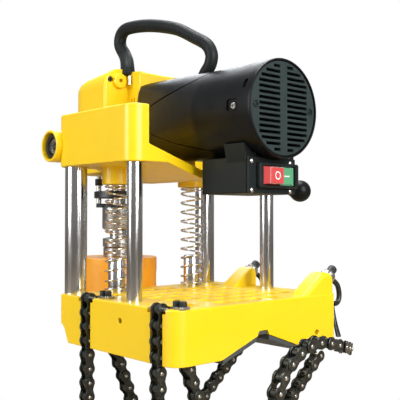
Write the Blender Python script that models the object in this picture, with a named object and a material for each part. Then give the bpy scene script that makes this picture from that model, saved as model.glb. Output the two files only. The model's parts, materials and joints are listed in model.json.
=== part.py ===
"""Chain-clamped pipe hole cutting machine, modelled in Blender.

Frame: the origin is on the axis of the pipe that the machine is clamped on, +X runs along the pipe towards
the vented end of the motor, +Y points to the feed lever side and +Z is up. All constants are in millimetres
and are turned into metres when a mesh is made.
"""

import math

import bmesh
import bpy
from mathutils import Matrix, Vector

MM = 0.001
GAP = 0.3                       # clearance between neighbouring pieces

# base casting
BASE_X, BASE_Y = 128.5, 151.0
BASE_BOTTOM, BASE_TOP = 54.0, 122.0
BASE_CORNER = 20.0
V_HALF, V_APEX = 77.0, 81.5
PAD_THICK = 6.5
RELIEF_HALF, RELIEF_TOP = 10.5, 84.0

# columns and springs: X, Y of the near one (-Y); each has a twin at +Y
RACK_X, RACK_Y, RACK_R = -125.7, 126.7, 16.0
GUIDE_X, GUIDE_Y, GUIDE_R = 17.0, 126.7, 10.5
COLUMN_FOOT, COLUMN_TOP = 72.0, 376.0
SPRING_X, SPRING_Y = -99.0, 73.5
SPRING_R, WIRE_R, SPRING_TURNS = 16.5, 1.25, 12
POST_R, POST_TOP = 12.5, 171.0

# chains: 19.05 mm pitch
PITCH = 19.05
CHAIN_X = (-62.0, 93.5)
WRAP_R = 79.5
OUTER_WRAP_X = 216.0
PLATE_HALF = 8.2
TAIL_LINKS = 9
EDGE_PIN = (-146.0, 120.5)
FIRST_TAIL = (-148.0, 101.56)
OVER_EDGE = (-128.0, 114.2)
IN_SHAFT = (-121.4, 96.3)
HOOK_END = (158.0, 30.0)        # Y, Z of the last chain pin on the hooked rod
SLACK_START = (147.0, 150.0, 44.0)
SLACK_TURN = math.radians(165.0)

# tensioners at the +Y lugs
LUG_X = (-42.0, 113.5)
LUG_HALF = 14.4
LUG_INNER = (98.0, 84.0)
LUG_RISE = 44.0                 # length of the sloping face along Y
SCREW_TILT = math.radians(40.0)
WASHER_YZ = (155.0, 146.5)

# head
HEAD_BOTTOM, HEAD_TOP = 305.0, 380.0
RACK_SLEEVE_R, GUIDE_SLEEVE_R = 22.0, 18.5
WALL = 7.0
RACK_BUSH_R, GUIDE_BUSH_R = 18.6, 13.6
LUG_BOTTOM = 280.0
KEEL_BOTTOM, KEEL_HALF = 285.0, 60.0

SPINDLE_X = -199.0
DOME = (-262.0, -150.0, 61.0)   # back, front, half width
DOME_SPLIT, DOME_TOP = 352.0, 466.0
NECK_HALF = 17.0
EYE_Y = -35.0
RIDGE_END = -48.0
PINION_X, PINION_Z = -152.0, 336.0
PINION_TEETH, PINION_R = 12, 12.0
BOSS_R, BOSS_Y = 23.5, 157.0

# motor
MOTOR_Z, MOTOR_R = 371.0, 64.5
MOTOR_FRONT, MOTOR_ROUND, MOTOR_REAR = -118.0, 60.0, 166.0
SHELL = 4.0
NOSE_HALF, NOSE_TOP, NOSE_BOTTOM = 24.0, 440.0, 324.0
SEAM = ((-122.0, 386.0), (-60.0, 398.5), (14.0, 412.0), (50.0, 423.0), (78.0, 439.0))

# gears: a motor pinion and a countershaft wheel, then a pinion on a crown wheel
MODULE_1 = 1.1
MOTOR_TEETH, WHEEL_TEETH = 8, 48
CROWN_PINION_TEETH, CROWN_TEETH = 6, 36
CROWN_R = 33.6
COUNTER_Z = MOTOR_Z + MODULE_1 * (MOTOR_TEETH + WHEEL_TEETH) / 2.0
WHEEL_X = (-66.0, -60.0)
CROWN_PINION_R = CROWN_R * CROWN_PINION_TEETH / CROWN_TEETH
CROWN_Z = COUNTER_Z - CROWN_PINION_R
CROWN_PINION_X = (SPINDLE_X + CROWN_R - 4.0, SPINDLE_X + CROWN_R + 2.5)

# switch box
BOX = (58.0, 141.0, 45.0, 262.0, 309.0)     # X back, X front, half width, Z low, Z high
BEZEL = (-27.0, 44.0, 269.0, 302.0)         # Y from, Y to, Z low, Z high
WINDOW = (-16.0, 38.5, 274.0, 296.5)
BUTTON_SPLIT = 10.8

# cutter
SAW_R, SAW_BOTTOM = 63.5, 92.0
FLANGE_TURN = 48.0

# carry handle: its centre line in X and Z
HANDLE = ((-173.0, 464.0), (-172.0, 482.0), (-181.0, 498.0), (-194.0, 516.0), (-193.0, 531.0), (-181.0, 540.0),
          (-156.0, 540.0), (-120.0, 535.0), (-82.0, 526.0), (-45.0, 514.0), (-10.0, 496.0), (18.0, 480.0),
          (28.5, 464.0), (26.0, 450.0), (17.0, 440.0), (9.0, 430.0))

# feed lever
LEVER_Y = 203.0
BALL_X, BALL_Z, BALL_R = 20.0, 274.0, 17.5
GRIP = 46.0                     # from the ball's centre to the small end of its tapered neck

MATERIALS = {
    "yellow_paint": ((0.95, 0.62, 0.02, 1.0), 0.35, 0.0),
    "black_plastic": ((0.02, 0.022, 0.025, 1.0), 0.42, 0.0),
    "black_rubber": ((0.03, 0.035, 0.038, 1.0), 0.6, 0.0),
    "chrome_steel": ((0.75, 0.75, 0.77, 1.0), 0.15, 1.0),
    "bright_steel": ((0.6, 0.6, 0.6, 1.0), 0.3, 1.0),
    "dark_steel": ((0.05, 0.055, 0.055, 1.0), 0.4, 0.9),
    "chain_steel": ((0.09, 0.095, 0.085, 1.0), 0.38, 0.9),
    "orange_paint": ((0.9, 0.3, 0.02, 1.0), 0.4, 0.0),
    "copper": ((0.7, 0.3, 0.15, 1.0), 0.4, 1.0),
    "brass": ((0.7, 0.5, 0.2, 1.0), 0.35, 1.0),
    "red_plastic": ((0.6, 0.03, 0.03, 1.0), 0.35, 0.0),
    "green_plastic": ((0.03, 0.4, 0.12, 1.0), 0.35, 0.0),
}


# ---------------------------------------------------------------- mesh helpers

def place(axis, u, v, h):
    """Turn (across, across, along) into X, Y, Z for a shape whose long axis is X, Y or Z."""
    return {"X": (h, u, v), "Y": (v, h, u), "Z": (u, v, h)}[axis]


def bridge(bm, first, second):
    """Faces between two vertex rings; a ring of one vertex is a pole."""
    count = max(len(first), len(second))
    for i in range(count):
        j = (i + 1) % count
        corners = [first[i % len(first)], first[j % len(first)], second[j % len(second)], second[i % len(second)]]
        unique = list(dict.fromkeys(corners))
        if len(unique) > 2:
            bm.faces.new(unique)


def skin(rings, ring_closed=False):
    """A closed body from rings of points: the ends are capped, or joined when ring_closed is set."""
    bm = bmesh.new()
    made = [[bm.verts.new(point) for point in ring] for ring in rings]
    for first, second in zip(made, made[1:]):
        bridge(bm, first, second)
    if ring_closed:
        bridge(bm, made[-1], made[0])
    else:
        for ring in (made[0], made[-1]):
            if len(ring) > 2:
                bm.faces.new(ring)
    bmesh.ops.recalc_face_normals(bm, faces=bm.faces)
    return bm


def turned(profile, centre=(0.0, 0.0, 0.0), axis="Z", segments=32, tube=False):
    """Revolve (radius, height) points about an axis through centre."""
    rings = []
    for radius, height in profile:
        steps = 1 if radius < 1e-6 else segments
        ring = []
        for i in range(steps):
            angle = 2.0 * math.pi * i / steps
            offset = place(axis, radius * math.cos(angle), radius * math.sin(angle), height)
            ring.append(tuple(c + o for c, o in zip(centre, offset)))
        rings.append(ring)
    return skin(rings, ring_closed=tube)


def rod(radius, low, high, centre=(0.0, 0.0, 0.0), axis="Z", segments=24, chamfer=0.0):
    profile = [(0.0, low), (radius - chamfer, low), (radius, low + chamfer),
               (radius, high - chamfer), (radius - chamfer, high), (0.0, high)]
    if chamfer == 0.0:
        profile = [(0.0, low), (radius, low), (radius, high), (0.0, high)]
    return turned(profile, centre, axis, segments)


def pipe(inner, outer, low, high, centre=(0.0, 0.0, 0.0), axis="Z", segments=32):
    profile = [(inner, low), (outer, low), (outer, high), (inner, high)]
    return turned(profile, centre, axis, segments, tube=True)


def prism(outline, low, high, axis="Z"):
    """Extrude an outline of (u, v) points along an axis."""
    return skin([[place(axis, u, v, h) for u, v in outline] for h in (low, high)])


def box(x0, x1, y0, y1, z0, z1):
    return prism([(x0, y0), (x1, y0), (x1, y1), (x0, y1)], z0, z1)


def rounded_rectangle(u0, u1, v0, v1, radii, steps=5):
    """Outline with its own radius at (u1,v1), (u0,v1), (u0,v0), (u1,v0)."""
    corners = [(u1, v1, -1, -1), (u0, v1, 1, -1), (u0, v0, 1, 1), (u1, v0, -1, 1)]
    outline = []
    for k, ((u, v, su, sv), radius) in enumerate(zip(corners, radii)):
        if radius <= 0.0:
            outline.append((u, v))
            continue
        centre_u, centre_v = u + su * radius, v + sv * radius
        for i in range(steps + 1):
            angle = math.radians(90.0 * k + 90.0 * i / steps)
            outline.append((centre_u + radius * math.cos(angle), centre_v + radius * math.sin(angle)))
    return outline


def swept(path, radius, segments=8, closed=False):
    """A round bar along a list of points; radius may be a number or a list."""
    points = [Vector(p) for p in path]
    count = len(points)
    radii = radius if isinstance(radius, list) else [radius] * count
    rings = []
    side = None
    for i, point in enumerate(points):
        ahead = points[min(i + 1, count - 1)] - points[max(i - 1, 0)]
        ahead.normalize()
        if side is None:
            side = ahead.orthogonal().normalized()
        side = (side - ahead * side.dot(ahead)).normalized()
        up = ahead.cross(side)
        ring = []
        for k in range(segments):
            angle = 2.0 * math.pi * k / segments
            ring.append(tuple(point + (side * math.cos(angle) + up * math.sin(angle)) * radii[i]))
        rings.append(ring)
    return skin(rings)


def smooth_path(points, steps=6):
    """Catmull-Rom curve through the points."""
    vectors = [Vector(p) for p in points]
    ends = [vectors[0] * 2 - vectors[1]] + vectors + [vectors[-1] * 2 - vectors[-2]]
    path = []
    for i in range(1, len(ends) - 2):
        a, b, c, d = ends[i - 1:i + 3]
        for k in range(steps):
            t = k / steps
            path.append(0.5 * ((2 * b) + (c - a) * t + (2 * a - 5 * b + 4 * c - d) * t * t
                               + (3 * b - a - 3 * c + d) * t * t * t))
    path.append(vectors[-1])
    return path


def merged(pieces):
    """Several closed bodies in one bmesh, kept as separate bodies."""
    whole = bmesh.new()
    for piece in pieces:
        mesh = bpy.data.meshes.new("piece")
        piece.to_mesh(mesh)
        piece.free()
        whole.from_mesh(mesh)
        bpy.data.meshes.remove(mesh)
    return whole


def moved(bm, matrix):
    bmesh.ops.transform(bm, matrix=matrix, verts=bm.verts)
    return bm


def tilted(angle, centre, bm):
    """Turn a body made along +Z so that it leans from +Z towards +Y, then move it to centre."""
    turn = Matrix.Translation(Vector(centre)) @ Matrix.Rotation(-angle, 4, "X")
    return moved(bm, turn)


def material(name):
    found = bpy.data.materials.get(name)
    if found:
        return found
    colour, roughness, metallic = MATERIALS[name]
    made = bpy.data.materials.new(name)
    made.use_nodes = True
    made.diffuse_color = colour
    shader = made.node_tree.nodes["Principled BSDF"]
    shader.inputs["Base Color"].default_value = colour
    shader.inputs["Roughness"].default_value = roughness
    shader.inputs["Metallic"].default_value = metallic
    return made


def make(name, bm, finish, origin=(0.0, 0.0, 0.0)):
    """Put a bmesh in millimetres into an object in metres whose origin is on its joint's axis."""
    moved(bm, Matrix.Scale(MM, 4) @ Matrix.Translation(-Vector(origin)))
    mesh = bpy.data.meshes.new(name)
    bm.to_mesh(mesh)
    bm.free()
    made = bpy.data.objects.new(name, mesh)
    made.location = Vector(origin) * MM
    bpy.context.scene.collection.objects.link(made)
    if finish:
        mesh.materials.append(material(finish))
        mesh.shade_smooth()
        mesh.set_sharp_from_angle(angle=math.radians(35.0))
    return made


def helper(name, bm):
    made = make(name, bm, None)
    made.hide_render = True
    made.display_type = "WIRE"
    return made


def boolean(target, operation, bm, label):
    """Join, cut or intersect a body with a helper body; the modifier stays on the object."""
    tool = helper(f"{target.name}_{label}", bm)
    modifier = target.modifiers.new(label, "BOOLEAN")
    modifier.operation = operation
    modifier.object = tool
    modifier.solver = "EXACT"


# ---------------------------------------------------------------- base

def v_height(y, lift=0.0):
    """Height of the V surface at y, before the pads."""
    return BASE_BOTTOM + (V_APEX - BASE_BOTTOM) * (1.0 - abs(y) / V_HALF) - lift


def base_pockets():
    """Open pockets in the top, between ribs, clear of bosses, shafts and lugs."""
    pitch, size = 31.0, 24.0
    keep = [(RACK_X, RACK_Y, 40.0), (RACK_X, -RACK_Y, 40.0), (GUIDE_X, GUIDE_Y, 32.0),
            (GUIDE_X, -GUIDE_Y, 32.0), (SPRING_X, SPRING_Y, 37.0), (SPRING_X, -SPRING_Y, 37.0)]
    pockets = []
    for i in range(-3, 4):
        for j in range(-4, 4):
            x, y = i * pitch + 6.0, (j + 0.5) * pitch
            if any(math.hypot(x - kx, y - ky) < reach for kx, ky, reach in keep):
                continue
            if y < -75.0 and any(abs(x - cx) < 16.0 + size / 2 + 4.0 for cx in CHAIN_X):
                continue
            if y < -88.0 or any(abs(x - lx) < LUG_HALF + size / 2 + 3.0 and y > inner - size / 2 - 4.0
                                for lx, inner in zip(LUG_X, LUG_INNER)):
                continue
            floor = 93.0 if abs(y) < 62.0 else 78.0
            pockets.append(box(x - size / 2, x + size / 2, y - size / 2, y + size / 2, floor, BASE_TOP + 5.0))
    return pockets


def lug(centre_x, inner):
    """Wedge with a sloping inner face and a rounded nose."""
    top = inner + LUG_RISE
    nose = [(138.0 + 13.0 * math.sin(a), 139.0 + 13.0 * math.cos(a))
            for a in (math.radians(15.0 * k) for k in range(0, 7))]
    nose = [spot for spot in nose if spot[0] > top + 0.5]
    outline = [(inner, BASE_TOP - 12.0), (inner, BASE_TOP), (top, 151.2)] + nose
    outline.append((BASE_Y, BASE_TOP - 12.0))
    return prism(outline, centre_x - LUG_HALF, centre_x + LUG_HALF, "X")


def build_base():
    outline = rounded_rectangle(-BASE_X, BASE_X, -BASE_Y, BASE_Y, [4.0, 4.0, 4.0, BASE_CORNER])
    base = make("base", prism(outline, BASE_BOTTOM, BASE_TOP), "yellow_paint")
    for index, (x, inner) in enumerate(zip(LUG_X, LUG_INNER)):
        boolean(base, "UNION", lug(x, inner), f"lug_{index}")
    vee = [(-V_HALF, BASE_BOTTOM), (-RELIEF_HALF, v_height(RELIEF_HALF)), (-RELIEF_HALF + 2.0, RELIEF_TOP),
           (RELIEF_HALF - 2.0, RELIEF_TOP), (RELIEF_HALF, v_height(RELIEF_HALF)), (V_HALF, BASE_BOTTOM),
           (V_HALF + 4.0, BASE_BOTTOM - 10.0), (-V_HALF - 4.0, BASE_BOTTOM - 10.0)]
    boolean(base, "DIFFERENCE", prism(vee, -BASE_X - 5.0, BASE_X + 5.0, "X"), "vee")
    step = [(BASE_BOTTOM - 5.0, -BASE_X - 5.0), (BASE_BOTTOM - 5.0, -BASE_X + 24.0), (BASE_BOTTOM, -BASE_X + 22.0),
            (74.0, -BASE_X + 12.0), (79.0, -BASE_X + 6.0), (81.0, -BASE_X), (81.0, -BASE_X - 5.0)]
    boolean(base, "DIFFERENCE", prism(step, -BASE_Y - 5.0, BASE_Y + 5.0, "Y"), "end_step")
    boolean(base, "DIFFERENCE", merged(base_pockets()), "pockets")
    shafts = []
    for x in CHAIN_X:
        shafts.append(box(x - 12.5, x + 12.5, -133.0, -91.0, BASE_BOTTOM - 5.0, BASE_TOP + 5.0))
    boolean(base, "DIFFERENCE", merged(shafts), "chain_shafts")
    grooves = []
    for x in CHAIN_X:
        grooves.append(box(x - 12.0, x + 12.0, -BASE_Y - 5.0, -139.0, BASE_BOTTOM - 5.0, BASE_TOP + 6.0))
    boolean(base, "DIFFERENCE", merged(grooves), "chain_grooves")
    notches = []
    for x in CHAIN_X:
        notches.append(box(x - 17.5, x + 17.5, -BASE_Y - 6.0, -140.0, EDGE_PIN[1] - 4.3, BASE_TOP + 7.0))
    boolean(base, "DIFFERENCE", merged(notches), "pin_notches")
    edges = []
    for x in CHAIN_X:
        edges.append(box(x - 11.5, x + 11.5, -BASE_Y - 7.0, -128.0, 100.0, BASE_TOP + 8.0))
    boolean(base, "DIFFERENCE", merged(edges), "chain_edges")
    bores = []
    for side in (-1, 1):
        bores.append(rod(RACK_R + GAP, COLUMN_FOOT - GAP, BASE_TOP + 9.0, (RACK_X, side * RACK_Y, 0.0)))
        bores.append(rod(GUIDE_R + GAP, COLUMN_FOOT - GAP, BASE_TOP + 9.0, (GUIDE_X, side * GUIDE_Y, 0.0)))
        bores.append(rod(6.0 + GAP, 104.0, BASE_TOP + 9.0, (SPRING_X, side * SPRING_Y, 0.0), segments=16))
    boolean(base, "DIFFERENCE", merged(bores), "bores")
    holes = [rod(3.6, -BASE_Y - 5.0, -GUIDE_Y - GUIDE_R + 1.0, (18.0, 0.0, 99.0), "Y", 12),
             rod(3.6, GUIDE_Y + GUIDE_R - 1.0, BASE_Y + 5.0, (18.0, 0.0, 99.0), "Y", 12),
             rod(4.0, 112.0, BASE_X + 5.0, (0.0, 110.5, 69.0), "X", 12)]
    for x in LUG_X:
        holes.append(tilted(math.pi / 2 - SCREW_TILT, (x, *WASHER_YZ), rod(5.3, -42.0, 20.0, segments=16)))
    boolean(base, "DIFFERENCE", merged(holes), "holes")
    seats = []
    for x in LUG_X:
        seats.append(tilted(math.pi / 2 - SCREW_TILT, (x, *WASHER_YZ), rod(12.3, -6.0, 30.0, segments=20)))
    boolean(base, "DIFFERENCE", merged(seats), "washer_seats")


def build_pads():
    slope = math.atan2(V_APEX - BASE_BOTTOM, V_HALF)
    drop = PAD_THICK / math.cos(slope)
    for side, name in ((-1, "v_pad_near"), (1, "v_pad_far")):
        inner, outer = RELIEF_HALF + 1.0, V_HALF - 5.0
        outline = [(side * inner, v_height(inner, GAP)), (side * outer, v_height(outer, GAP)),
                   (side * outer, v_height(outer, drop)), (side * inner, v_height(inner, drop))]
        make(name, prism(outline, -BASE_X + 24.0, BASE_X - 1.0, "X"), "black_plastic")


def rack_column(side):
    """Thick column whose -X flank carries a rack of teeth between its ends."""
    name = "rack_column_near" if side < 0 else "rack_column_far"
    column = make(name, rod(RACK_R, COLUMN_FOOT, COLUMN_TOP, (RACK_X, side * RACK_Y, 0.0), segments=24,
                            chamfer=1.5), "chrome_steel")
    tooth_pitch = 2.0 * math.pi * PINION_R / PINION_TEETH
    pitch_line = PINION_X + PINION_R
    gaps = []
    mouth, root = 2.5, 1.6
    for k in range(-17, 2):
        z = PINION_Z + tooth_pitch * k
        # each space is wider at its mouth than at its root
        outline = [(z - root, pitch_line + 3.1), (z + root, pitch_line + 3.1),
                   (z + mouth, RACK_X - RACK_R - 2.0), (z - mouth, RACK_X - RACK_R - 2.0)]
        gaps.append(prism(outline, side * RACK_Y - 13.0, side * RACK_Y + 13.0, "Y"))
    return column, gaps


def build_columns():
    for side in (-1, 1):
        column, gaps = rack_column(side)
        boolean(column, "DIFFERENCE", merged(gaps), "rack_spaces")
        name = "guide_column_near" if side < 0 else "guide_column_far"
        make(name, rod(GUIDE_R, COLUMN_FOOT, COLUMN_TOP, (GUIDE_X, side * GUIDE_Y, 0.0), segments=20,
                       chamfer=1.2), "chrome_steel")
    for side, name in ((-1, "spring_post_near"), (1, "spring_post_far")):
        profile = [(0.0, 105.0), (6.0, 105.0), (6.0, BASE_TOP + GAP), (POST_R, BASE_TOP + GAP),
                   (POST_R, POST_TOP - 2.0), (POST_R - 2.0, POST_TOP), (0.0, POST_TOP)]
        make(name, turned(profile, (SPRING_X, side * SPRING_Y, 0.0), segments=20), "bright_steel")


# ---------------------------------------------------------------- springs

def spring(name, side):
    """Coil with closed ends between the base and the head's lug."""
    low, high = BASE_TOP + GAP + WIRE_R, LUG_BOTTOM - GAP - WIRE_R
    steps = SPRING_TURNS * 8
    path = []
    for i in range(steps + 1):
        share = i / steps
        flat = 1.0 / SPRING_TURNS
        rise = min(max((share - flat) / (1.0 - 2.0 * flat), 0.0), 1.0)
        ease = 2.6 * WIRE_R
        height = low + ease * min(share / flat, 1.0) + (high - low - 2.0 * ease) * rise
        height += ease * max((share - 1.0 + flat) / flat, 0.0)
        angle = 2.0 * math.pi * SPRING_TURNS * share
        path.append((SPRING_X + SPRING_R * math.cos(angle), side * SPRING_Y + SPRING_R * math.sin(angle), height))
    make(name, swept(path, WIRE_R, 3), "bright_steel", (SPRING_X, side * SPRING_Y, BASE_TOP))


# ---------------------------------------------------------------- chains

def chain_body(pins):
    """One jointed strip: full height at every pin, waisted between pins, as wide as the pins are long."""
    half_width, waist = 9.2, PLATE_HALF * 0.72
    points = [Vector(pin) for pin in pins]
    rings = []
    for i, point in enumerate(points):
        before, after = points[max(i - 1, 0)], points[min(i + 1, len(points) - 1)]
        ahead = (after - before).normalized()
        up = ahead.cross(Vector((1.0, 0.0, 0.0))).normalized()
        across = up.cross(ahead)
        spots = [(point, PLATE_HALF)]
        if i == 0:
            spots.insert(0, (point - ahead * PLATE_HALF * 0.8, PLATE_HALF * 0.5))
        if i < len(points) - 1:
            spots.append(((point + points[i + 1]) / 2.0, waist))
        else:
            spots.append((point + ahead * PLATE_HALF * 0.8, PLATE_HALF * 0.5))
        for spot, half in spots:
            rings.append([tuple(spot + across * u * half_width + up * v * half)
                          for u, v in ((-1, -1), (1, -1), (1, 1), (-1, 1))])
    return skin(rings)


def tail_pins(x):
    pins = [(x, *EDGE_PIN), (x, *FIRST_TAIL)]
    for k in range(1, TAIL_LINKS):
        pins.append((x, FIRST_TAIL[0], FIRST_TAIL[1] - PITCH * k))
    return pins


def pins_along(point, total):
    """Points one pitch apart on a curve given by length."""
    here = point(0.0)
    pins = [tuple(here)]
    s = 0.0
    while True:
        step = PITCH
        while s + step <= total and (point(s + step) - here).length < PITCH:
            step += 0.05
        if s + step > total:
            return pins
        s += step
        here = point(s)
        pins.append(tuple(here))


def tangent_turn(spot, side):
    """Angle at which a straight chain from a (Y, Z) spot touches the wrap circle, and the free length."""
    reach = math.hypot(*spot)
    return math.atan2(spot[1], spot[0]) + side * math.acos(WRAP_R / reach), math.sqrt(reach ** 2 - WRAP_R ** 2)


def load_pins(x):
    """Pins from over the edge, down the shaft, under the pipe and up to the hooked rod."""
    start, straight_in = tangent_turn(IN_SHAFT, 1)
    leave, straight_out = tangent_turn(HOOK_END, -1)
    wrap = WRAP_R * (leave + 2.0 * math.pi - start)

    def point(s):
        if s < straight_in:
            near = (WRAP_R * math.cos(start), WRAP_R * math.sin(start))
            y, z = (a + (b - a) * s / straight_in for a, b in zip(IN_SHAFT, near))
        elif s < straight_in + wrap:
            angle = start + (s - straight_in) / WRAP_R
            y, z = WRAP_R * math.cos(angle), WRAP_R * math.sin(angle)
        else:
            far = (WRAP_R * math.cos(leave), WRAP_R * math.sin(leave))
            y, z = (a + (b - a) * (s - straight_in - wrap) / straight_out for a, b in zip(far, HOOK_END))
        return Vector((x, y, z))

    return [(x, *OVER_EDGE)] + pins_along(point, straight_in + wrap + straight_out)


def slack_pins():
    """Spare end of the second chain: from beside its hook over the pipe and down the near side."""
    start, straight = tangent_turn(SLACK_START[1:], 1)
    total = straight + WRAP_R * SLACK_TURN

    def point(s):
        share = min(s / straight, 1.0)
        x = SLACK_START[0] + (OUTER_WRAP_X - SLACK_START[0]) * math.sin(share * math.pi / 2.0)
        if s < straight:
            near = (WRAP_R * math.cos(start), WRAP_R * math.sin(start))
            y, z = (a + (b - a) * share for a, b in zip(SLACK_START[1:], near))
        else:
            angle = start + (s - straight) / WRAP_R
            y, z = WRAP_R * math.cos(angle), WRAP_R * math.sin(angle)
        return Vector((x, y, z))

    return pins_along(point, total)


def build_chains():
    make("chain_2_slack", chain_body(slack_pins()), "chain_steel")
    for index, x in enumerate(CHAIN_X):
        make(f"chain_{index + 1}_load", chain_body(load_pins(x)), "chain_steel")
        tail = tail_pins(x)
        make(f"chain_{index + 1}_tail", chain_body(tail[1:]), "chain_steel", (x, *EDGE_PIN))
        make(f"edge_pin_{index + 1}", rod(3.1, x - 16.5, x + 16.5, (0.0, *EDGE_PIN), "X", 16, 0.6), "bright_steel")
        plate = rounded_rectangle(x + 13.5, x + 35.5, -141.0, -126.0, [3.0] * 4, 3)
        make(f"guard_plate_{index + 1}", prism(plate, BASE_TOP + GAP, BASE_TOP + 3.3), "bright_steel")


# ---------------------------------------------------------------- tensioners

def build_tensioners():
    """A screw through each lug pulls on a hooked rod that holds the chain's far end."""
    lean = math.pi / 2 - SCREW_TILT
    for index, x in enumerate(LUG_X):
        centre = (x, *WASHER_YZ)
        collar = turned([(5.5, -5.5), (11.5, -5.5), (11.5, 0.0), (9.0, 4.0), (5.5, 4.0)], segments=16, tube=True)
        make(f"tension_collar_{index + 1}", tilted(lean, centre, collar), "bright_steel")
        screw = turned([(0.0, -38.0), (4.8, -36.5), (4.8, 4.3), (6.8, 4.3), (6.8, 14.0), (5.4, 16.0), (0.0, 16.0)],
                       segments=18)
        make(f"tension_screw_{index + 1}", tilted(lean, centre, screw), "dark_steel", centre)
        bend = smooth_path([(x, 167.6, 138.0), (x, 177.0, 130.0), (x, 180.8, 118.5), (x, 179.8, 109.5),
                            (x, 175.0, 104.3), (x, 168.0, 103.6)], 4)
        foot = (x - 4.0, 159.5, 43.0) if index == 0 else (x + 14.0, 160.5, 58.0)
        shank = [(x, 168.5, 102.5), (x, 166.8, 98.0), (x + (foot[0] - x) * 0.4, 164.5, 76.0), foot]
        hook = make(f"tension_hook_{index + 1}", swept(bend, 3.8, 7), "dark_steel")
        boolean(hook, "UNION", swept(shank, 3.6, 6), "shank")


# ---------------------------------------------------------------- gears

def gear_outline(teeth, pitch_radius, module, phase=0.0, width=0.36):
    """Thin-toothed gear outline, with plenty of backlash."""
    root, tip = pitch_radius - 1.15 * module, pitch_radius + 0.8 * module
    step = 2.0 * math.pi / teeth
    outline = []
    for k in range(teeth):
        middle = phase + step * k
        for radius, share in ((root, -width * 1.25), (tip, -width * 0.55), (tip, width * 0.55), (root, width * 1.25)):
            angle = middle + step * share / 2.0
            outline.append((radius * math.cos(angle), radius * math.sin(angle)))
    return outline


def gear_at(outline, centre, low, high, axis):
    u0, v0 = centre
    return prism([(u + u0, v + v0) for u, v in outline], low, high, axis)


# ---------------------------------------------------------------- motor

def motor_share(x):
    return min(max((x - MOTOR_FRONT) / (MOTOR_ROUND - MOTOR_FRONT), 0.0), 1.0)


def motor_section(x, grow=0.0, steps=36):
    """Section of the motor body: tall and narrow at the nose, round further back."""
    t = motor_share(x)
    top = NOSE_TOP + (MOTOR_Z + MOTOR_R - NOSE_TOP) * t
    bottom = NOSE_BOTTOM + (MOTOR_Z - MOTOR_R - NOSE_BOTTOM) * t
    half_width = NOSE_HALF + (MOTOR_R - NOSE_HALF) * t + grow
    half_height = (top - bottom) / 2.0 + grow
    middle = (top + bottom) / 2.0
    power = 2.0 / (3.2 - 1.2 * t)
    ring = []
    for i in range(steps):
        angle = 2.0 * math.pi * (i + 0.5) / steps
        c, s = math.cos(angle), math.sin(angle)
        ring.append((x, half_width * math.copysign(abs(c) ** power, c),
                     middle + half_height * math.copysign(abs(s) ** power, s)))
    return ring


def motor_body(low, high, grow=0.0, steps=28, bevel=0.0):
    stations = [low] + [x for x in (-90.0, -60.0, -30.0, 0.0, 30.0, 60.0) if low + 2.0 < x < high - 2.0] + [high]
    rings = [motor_section(x, grow, steps) for x in stations]
    if bevel:
        rings[0] = motor_section(low, grow - bevel, steps)
        rings.insert(1, motor_section(low + bevel, grow, steps))
    return skin(rings)


def above_seam(lift):
    """Everything above the joint between the front cover and the motor housing."""
    outline = [(x, z + lift) for x, z in SEAM]
    outline = [(MOTOR_FRONT - 12.0, outline[0][1] - 1.0)] + outline + [(SEAM[-1][0], 470.0), (MOTOR_FRONT - 12.0, 470.0)]
    return prism([(z, x) for x, z in outline], -80.0, 80.0, "Y")


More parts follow.
